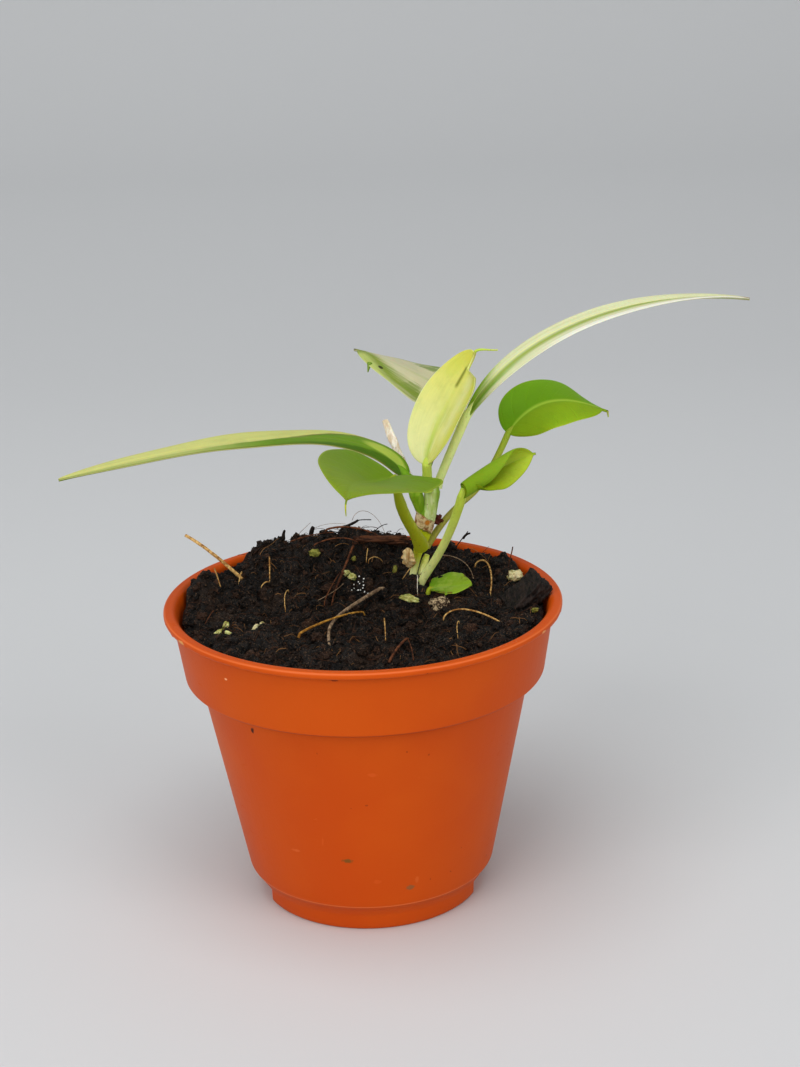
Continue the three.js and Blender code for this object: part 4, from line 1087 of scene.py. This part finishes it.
husk, olive = (
    grainy(name, dark, light, 1100, (3, 0.6), (0.4, 0.62), (0.55, 0.2), 0.3,
           Specular_IOR_Level=0.2, Subsurface_Weight=0.15, Subsurface_Scale=0.0008)
    for name, dark, light in [("seed_husk", (152, 152, 80), (214, 212, 146)),
                              ("olive_husk", (108, 108, 40), (154, 152, 76))])
for number, (x, y, size, turn, finish) in enumerate([
    (-9.1, 16.6, (1.1, 0.8, 0.5), (30, 0, 20), olive), (-2.9, 13.4, (0.75, 0.7, 0.65), (0, 30, 10), husk),
    (-1.9, 12, (0.75, 0.7, 0.65), (0, 10, 50), husk), (6.4, 13, (0.45, 0.35, 0.9), (0, 10, 0), olive),
    (-1.5, 16.7, (0.45, 0.35, 0.5), (0, 20, 0), olive), (-25.8, -4.6, (0.6, 0.4, 1.1), (0, 20, 0), husk),
    (-27, -7.8, (0.9, 0.4, 0.5), (0, -30, 20), husk), (-25, -8, (0.8, 0.4, 0.5), (0, 30, -20), husk),
    (8.7, -1.1, (1.7, 0.8, 0.5), (14, 14, -12), husk), (32, -5.2, (0.6, 0.5, 0.45), (0, 0, 30), olive),
    (-20.1, -7.4, (0.4, 1.6, 0.4), (0, 0, -16), cream), (-19.1, -3.8, (0.45, 0.5, 0.4), (0, 0, 0), cream),
]):
    at = (x, y, ground(x, y) + size[2] * 0.3)
    lump(f"seed_husk_{number + 1}", at, size, turn, 0.45, finish, "crumb", square=0.15)

perlite = Finish("perlite_dust", Roughness=0.7, Specular_IOR_Level=0.3)
perlite.feed(perlite.shader.inputs["Base Color"], (240, 240, 238))
dust_draw = np.random.default_rng(7)
for number in range(18):
    x, y = dust_draw.normal((0.2, 8.6), (1.2, 1.7))
    size = dust_draw.uniform(0.09, 0.17)
    lump(f"perlite_{number + 1}", (x, y, ground(x, y)), (size, size, size), (0, 0, 0), 0.5, perlite, "crumb",
         detail=2)


# Straws and fibres. Bits of dry stalk, coir and fine root from the peat, each lying across the clods or
# sticking out of them; one tan straw leans out over the left rim.
def dry_stalk(name, dark, light):
    """Dead stalk: streaked dark and light, and dark at one end."""
    made = Finish(name, Specular_IOR_Level=0.2)
    streak = made.noise(made.stretched(1400, 1400, 1400), 1, 3, 0.65)
    band = made.noise(made.place, 300, 2)
    tone = made.mix(made.rise(streak + (band - 0.5) * 0.5, 0.35, 0.65), dark, light)
    tone = made.mix(made.rise(made.carried("along"), 0.1, 0.0) * 0.6, tone, dark)
    made.wear(tone, 0.55 + streak * 0.25, streak, 0.2 * MM)
    return made


def over_soil(points, count=48, clear=0.15):
    """A curve over the soil, lifted to clear the clods, from x, y and height over the soil in mm."""
    t = np.linspace(0, 1, count)
    line = bezier([(x, y, soil_level(x, y) + lift) for x, y, lift in points], t)[0]
    need = np.percentile([ground(x, y) + clear - z for x, y, z in line[count // 8:-count // 8]], 92)
    if max(lift for _, _, lift in points) < 2:
        line[:, 2] += max(need, 0) * np.sin(np.pi * t) ** 0.2
    return line


straw = dry_stalk("straw", (150, 104, 52), (222, 184, 118))
gold = dry_stalk("straw_gold", (128, 84, 26), (206, 158, 70))
grey = dry_stalk("straw_grey", (110, 88, 68), (176, 150, 122))
red = dry_stalk("strand_red", (62, 34, 20), (122, 74, 46))
black = dry_stalk("strand_black", (14, 10, 8), (44, 34, 28))
for node, points, radii, finish, slot in [
    ("straw_left", [(-23.4, 14.4, -0.6), (-26.8, 17, 1.6), (-31, 20, 4.8), (-34.6, 22, 6.8)],
     (0.36, 0.3), straw, "straw"),
    ("straw_front", [(-12, -13.3, 0.4), (-8, -10.6, 0.8), (-4, -7, 0.9), (0.2, -3.9, 0.5)],
     (0.26, 0.16), gold, "straw"),
    ("straw_middle", [(-6.2, -19.8, 0.1), (-7, -8.1, 0.1), (-7, -8.1, 0.6), (4, 7.8, 0.5)],
     (0.26, 0.36), grey, "straw"),
    ("fibre_right", [(22.2, 16.3, 0.1), (25.4, 16.6, 0.6), (25.4, 9, 0.3), (24.3, 4.2, 0)],
     (0.16, 0.16), straw, "straw"),
    ("fibre_front", [(14.8, -6.2, -0.2), (17, -2.6, 0.7), (21.4, -5.4, 0.5), (25.6, -11, 0.1)],
     (0.15, 0.18), straw, "straw"),
    ("strand_red", [(-1.5, 18.5, 0.3), (-2.6, 14.4, 0.8), (-4.7, 9.6, 0.6), (-5.8, 4.1, 0)],
     (0.26, 0.16), red, "bark"),
]:
    line = lined(node + "_dry", [(over_soil(points), np.linspace(*radii, 48))])
    settle(stalk.run(node + "_dry", line, finish, sides=10, knobble=0.5), slot, node)

for name, finish, slot, lines in [
    ("short_straws", straw, "straw", [
        ([(-18, 16.2, 1.2), (-17.9, 14.6, 1.2), (-17.9, 12, 0.8), (-17.9, 10, 0)], 0.15),
        ([(-17.9, 10.3, 0.5), (-18.4, 9.6, 0.8), (-19, 9.4, 0.7), (-19.6, 9.1, 0.2)], 0.16),
        ([(-28.2, 7.4, 2.9), (-27.8, 7.2, 2), (-27.4, 6.9, 1), (-27, 6.4, -0.2)], 0.15),
        ([(-23.3, 12.6, 1.6), (-23.5, 11.6, 1.3), (-23.7, 10.6, 0.8), (-23.9, 9.6, -0.1)], 0.14),
        ([(-14.2, 7.2, 0.9), (-15, 5.4, 1.1), (-15, 2.4, 0.8), (-14.7, 0.2, 0)], 0.11),
        ([(3.8, -7.6, 0.6), (3.8, -10, 1.2), (3.9, -14, 0.9), (3.8, -17.4, 0)], 0.14),
        ([(17.6, -9.8, 0.6), (17.2, -11, 1.2), (16.8, -13, 1), (17, -15.6, 0)], 0.11),
        ([(1.3, 17.8, 1.2), (1.2, 17.2, 1.3), (1, 16.6, 1), (0.9, 15.9, 0.2)], 0.1),
        ([(1.3, 15.5, 0.4), (2.2, 15.6, 0.8), (3.2, 15.7, 0.8), (4.1, 15.6, 0.3)], 0.09),
        ([(9.4, 9, 3.3), (8.9, 9.1, 2.6), (8.3, 9.3, 1.8), (7.8, 9.5, 0.9)], 0.12),
    ]),
    ("reddish_twigs", red, "bark", [
        ([(-7, 22.6, 0.2), (-3.4, 23, 0.6), (0, 22.4, 0.6), (3.6, 21.6, 0.3)], 0.22),
        ([(-9.4, 19, 0), (-6, 20, 0.4), (-3, 20.2, 0.4), (-0.4, 19.4, 0.2)], 0.17),
        ([(-14, 21, 0.1), (-11, 21.6, 0.4), (-8, 22, 0.4), (-5.4, 22, 0.2)], 0.12),
        ([(-4.2, 12.4, 0.4), (-5.2, 9, 0.9), (-6.2, 6, 0.7), (-7.4, 2.6, 0)], 0.15),
        ([(-3.4, 13, 0.4), (-4.2, 9.6, 0.9), (-5.4, 6, 0.7), (-6, 2.4, 0)], 0.12),
        ([(4.2, -25.2, 0), (5.4, -23, 1), (6.6, -19.6, 1.4), (7.9, -16.6, 0.8)], 0.28),
        ([(8.6, -24.6, 0), (8.5, -22, 0.8), (8.3, -19, 1), (7.8, -16.8, 0.8)], 0.14),
        ([(-28.2, 0.4, 0.5), (-28.6, -1, 0.8), (-29, -2.8, 0.7), (-29.6, -4.4, 0.1)], 0.1),
        ([(29.6, 15, 3.6), (29.4, 14.8, 2.6), (29, 14.4, 1.6), (28.6, 14, 0.2)], 0.12),
    ]),
    ("black_twigs", black, "bark", [
        ([(-4.2, 26, -0.2), (-2.6, 26.2, 1.4), (-1.6, 25.8, 1.2), (-0.4, 26, 2.4)], 0.34),
        ([(-1.4, 26, 1.7), (-0.6, 26.2, 2.6), (0.8, 25.8, 2.6), (2.2, 26, 2.9)], 0.12),
        ([(2.8, 25, 0.4), (3.6, 25.4, 1.6), (4.4, 25.6, 2.4), (5.4, 25.8, 2.9)], 0.1),
        ([(-15.4, 24, -0.4), (-15.4, 24, 0.3), (-15.3, 24, 0.7), (-15.1, 24, 1.2)], 0.36),
        ([(-9.9, 24, -0.5), (-9.8, 24, 0.2), (-9.6, 24, 0.6), (-9.3, 24, 1)], 0.5),
        ([(18.6, 27.4, 0), (19.6, 27.4, 1.6), (20.6, 27.6, 2.8), (21.6, 27.4, 4.2)], 0.12),
        ([(20.6, 27.6, 2.6), (21, 27.6, 3.4), (21.6, 27.4, 3.8), (22, 27.2, 3.8)], 0.26),
    ]),
    ("hair_roots", grey, "straw", [
        ([(-1.6, 26, 2.2), (-0.8, 26, 5.4), (3.2, 26, 5.9), (4.9, 25.6, 0.6)], 0.05),
        ([(-12.6, 24, -0.2), (-11.7, 24, 0.6), (-10.8, 24, 1.3), (-9.9, 24, 2)], 0.05),
        ([(-9.9, 25, 0.2), (-8, 25, 1.6), (-5, 25, 1.5), (-2.9, 25, 1.2)], 0.04),
        ([(-3.6, 9.8, 0.5), (-4.4, 6.6, 1), (-6.4, 4.2, 0.9), (-9.2, 3.2, 0.2)], 0.09),
        ([(15.2, 22, 0.2), (18.6, 20, 0.8), (21.6, 17, 1), (21.7, 11.6, 0)], 0.11),
    ]),
]:
    line = lined(name, [(over_soil(points, 30), np.linspace(size, size * 0.7, 30)) for points, size in lines])
    settle(stalk.run(name, line, finish, sides=7, knobble=0.6), slot)

FIBRES_WITHIN = 31.5
combing = SoilRule("fibre_strewing", finish="Material", density="Float", length="Float", radius="Float",
                   seed="Int")
length = combing.given("length")
thread = combing.node("GeometryNodeCurvePrimitiveLine", {}, {"Start": (-0.5, 0, 0), "End": (0.5, 0, 0)})
thread = combing.node("GeometryNodeResampleCurve", {}, {0: thread, "Count": 9})
turn = combing.drawn((-0.3, -0.5, 0), (0.3, 0.5, 6.28), 1)
long = combing.scaled((1, 1, 1), combing.drawn(0.25, 1.0, 2) * length)
threads = combing.copies(combing.scattered(FIBRES_WITHIN * MM), thread, turn, long, 3)
along = combing.value("GeometryNodeSplineParameter")
arch = combing.node("ShaderNodeCombineXYZ", {}, {2: combing.maths("SINE", along * math.pi) * length * 0.12})
bend = combing.scaled(combing.drift(260.0, 1.0), length * 0.5)
threads = combing.moved(threads, combing.vector("ADD", bend, arch))
threads = tube_around(combing, threads, 5, combing.given("radius") * (1.2 - along * 0.7))
combing.kept(combing.node("GeometryNodeSetShadeSmooth", {}, {0: threads}))

coir = Finish("coir", Specular_IOR_Level=0.25)
lot = coir.carried("lot")
streak = coir.noise(coir.place, 1200, 2)
tone = coir.mix(coir.rise(lot, 0.2, 0.75), (14, 9, 6), (70, 42, 25))
tone = coir.mix(coir.rise(lot, 0.88, 0.97), tone, (152, 110, 66))
coir.wear(tone, 0.5 + streak * 0.3, streak, 0.1 * MM)
for name, density, length, radius, seed in [  # per square metre, sizes in mm
    ("coir_fibres", 1.7e5, 5.5, 0.06, 51),
    ("coir_threads", 1.9e5, 2.6, 0.045, 61),
]:
    fibres = combing.run(name, soil.data, coir, density=density, length=length * MM, radius=radius * MM,
                         seed=seed)
    settle(fibres, "straw")


# Studio. A sweep of pale grey paper that runs from the floor up behind the pot, three soft lights around it,
# and the camera in the place that was fitted to the rings of the pot in the photograph.
SWEEP = [(0.9, 0), (-0.55, 0), (-0.85, 0.05), (-1.05, 0.2), (-1.15, 0.45), (-1.17, 1.6)]
SWEEP_COLUMNS = 9
CAMERA_AT = (0.0, -0.354099, 0.1888419)
CAMERA_AXES = ((0.99920041, -0.02962696, -0.02684729), (0.03482611, 0.31511535, 0.94841418),
               (-0.01963864, -0.94859083, 0.31589518))
SENSOR = 36
FOCAL_PX = 2000
PHOTO_HIGH_PX = 1067
AIM = (0, 0, 0.06)

sweep_line = rounded(SWEEP, 0.3, 12)
sweep_points = [(x, -y, z) for y, z in sweep_line for x in np.linspace(-1.6, 1.6, SWEEP_COLUMNS)]
sweep_faces = [(k, k + 1, k + SWEEP_COLUMNS + 1, k + SWEEP_COLUMNS)
               for k in range(len(sweep_points) - SWEEP_COLUMNS) if (k + 1) % SWEEP_COLUMNS]
paper = Finish("paper", Roughness=0.9)
paper.feed(paper.shader.inputs["Base Color"], (209, 211, 213))
sweep_mesh = plain_mesh("sweep", sweep_points, sweep_faces, 1)
sweep_mesh.materials.append(paper.material)
sweep = placed("sweep", sweep_mesh)

for name, place, wide, high, watts, tint in [
    ("light_above", (-0.15, -0.3, 1.1), 1.1, 0.9, 6.5, (1, 1, 1)),
    ("light_left", (-0.7, -0.95, 0.55), 0.9, 0.8, 6.5, (1, 0.99, 0.97)),
    ("light_right", (0.8, -0.75, 0.5), 0.7, 0.7, 3.8, (1, 0.99, 0.97)),
]:
    light = bpy.data.lights.new(name, "AREA")
    light.shape = "RECTANGLE"
    light.size, light.size_y, light.energy, light.color = wide, high, watts, tint
    lamp = placed(name, light)
    lamp.location = place
    lamp.rotation_mode = "QUATERNION"
    lamp.rotation_quaternion = (Vector(AIM) - Vector(place)).to_track_quat("-Z", "Y")

world = bpy.data.worlds.new("world")
world.use_nodes = True
world.node_tree.nodes["Background"].inputs["Color"].default_value = (0.92, 0.92, 0.92, 1)
world.node_tree.nodes["Background"].inputs["Strength"].default_value = 0.45
scene = bpy.context.scene
scene.world = world
scene.view_settings.view_transform = "Standard"
scene.view_settings.gamma = 0.9

lens = bpy.data.cameras.new("camera")
lens.lens = FOCAL_PX / PHOTO_HIGH_PX * SENSOR
lens.sensor_width = SENSOR
lens.clip_start = 0.01
camera = placed("camera", lens)
camera.matrix_world = Matrix([[*row, 0] for row in zip(*CAMERA_AXES)] + [[0, 0, 0, 1]])
camera.location = CAMERA_AT
scene.camera = camera
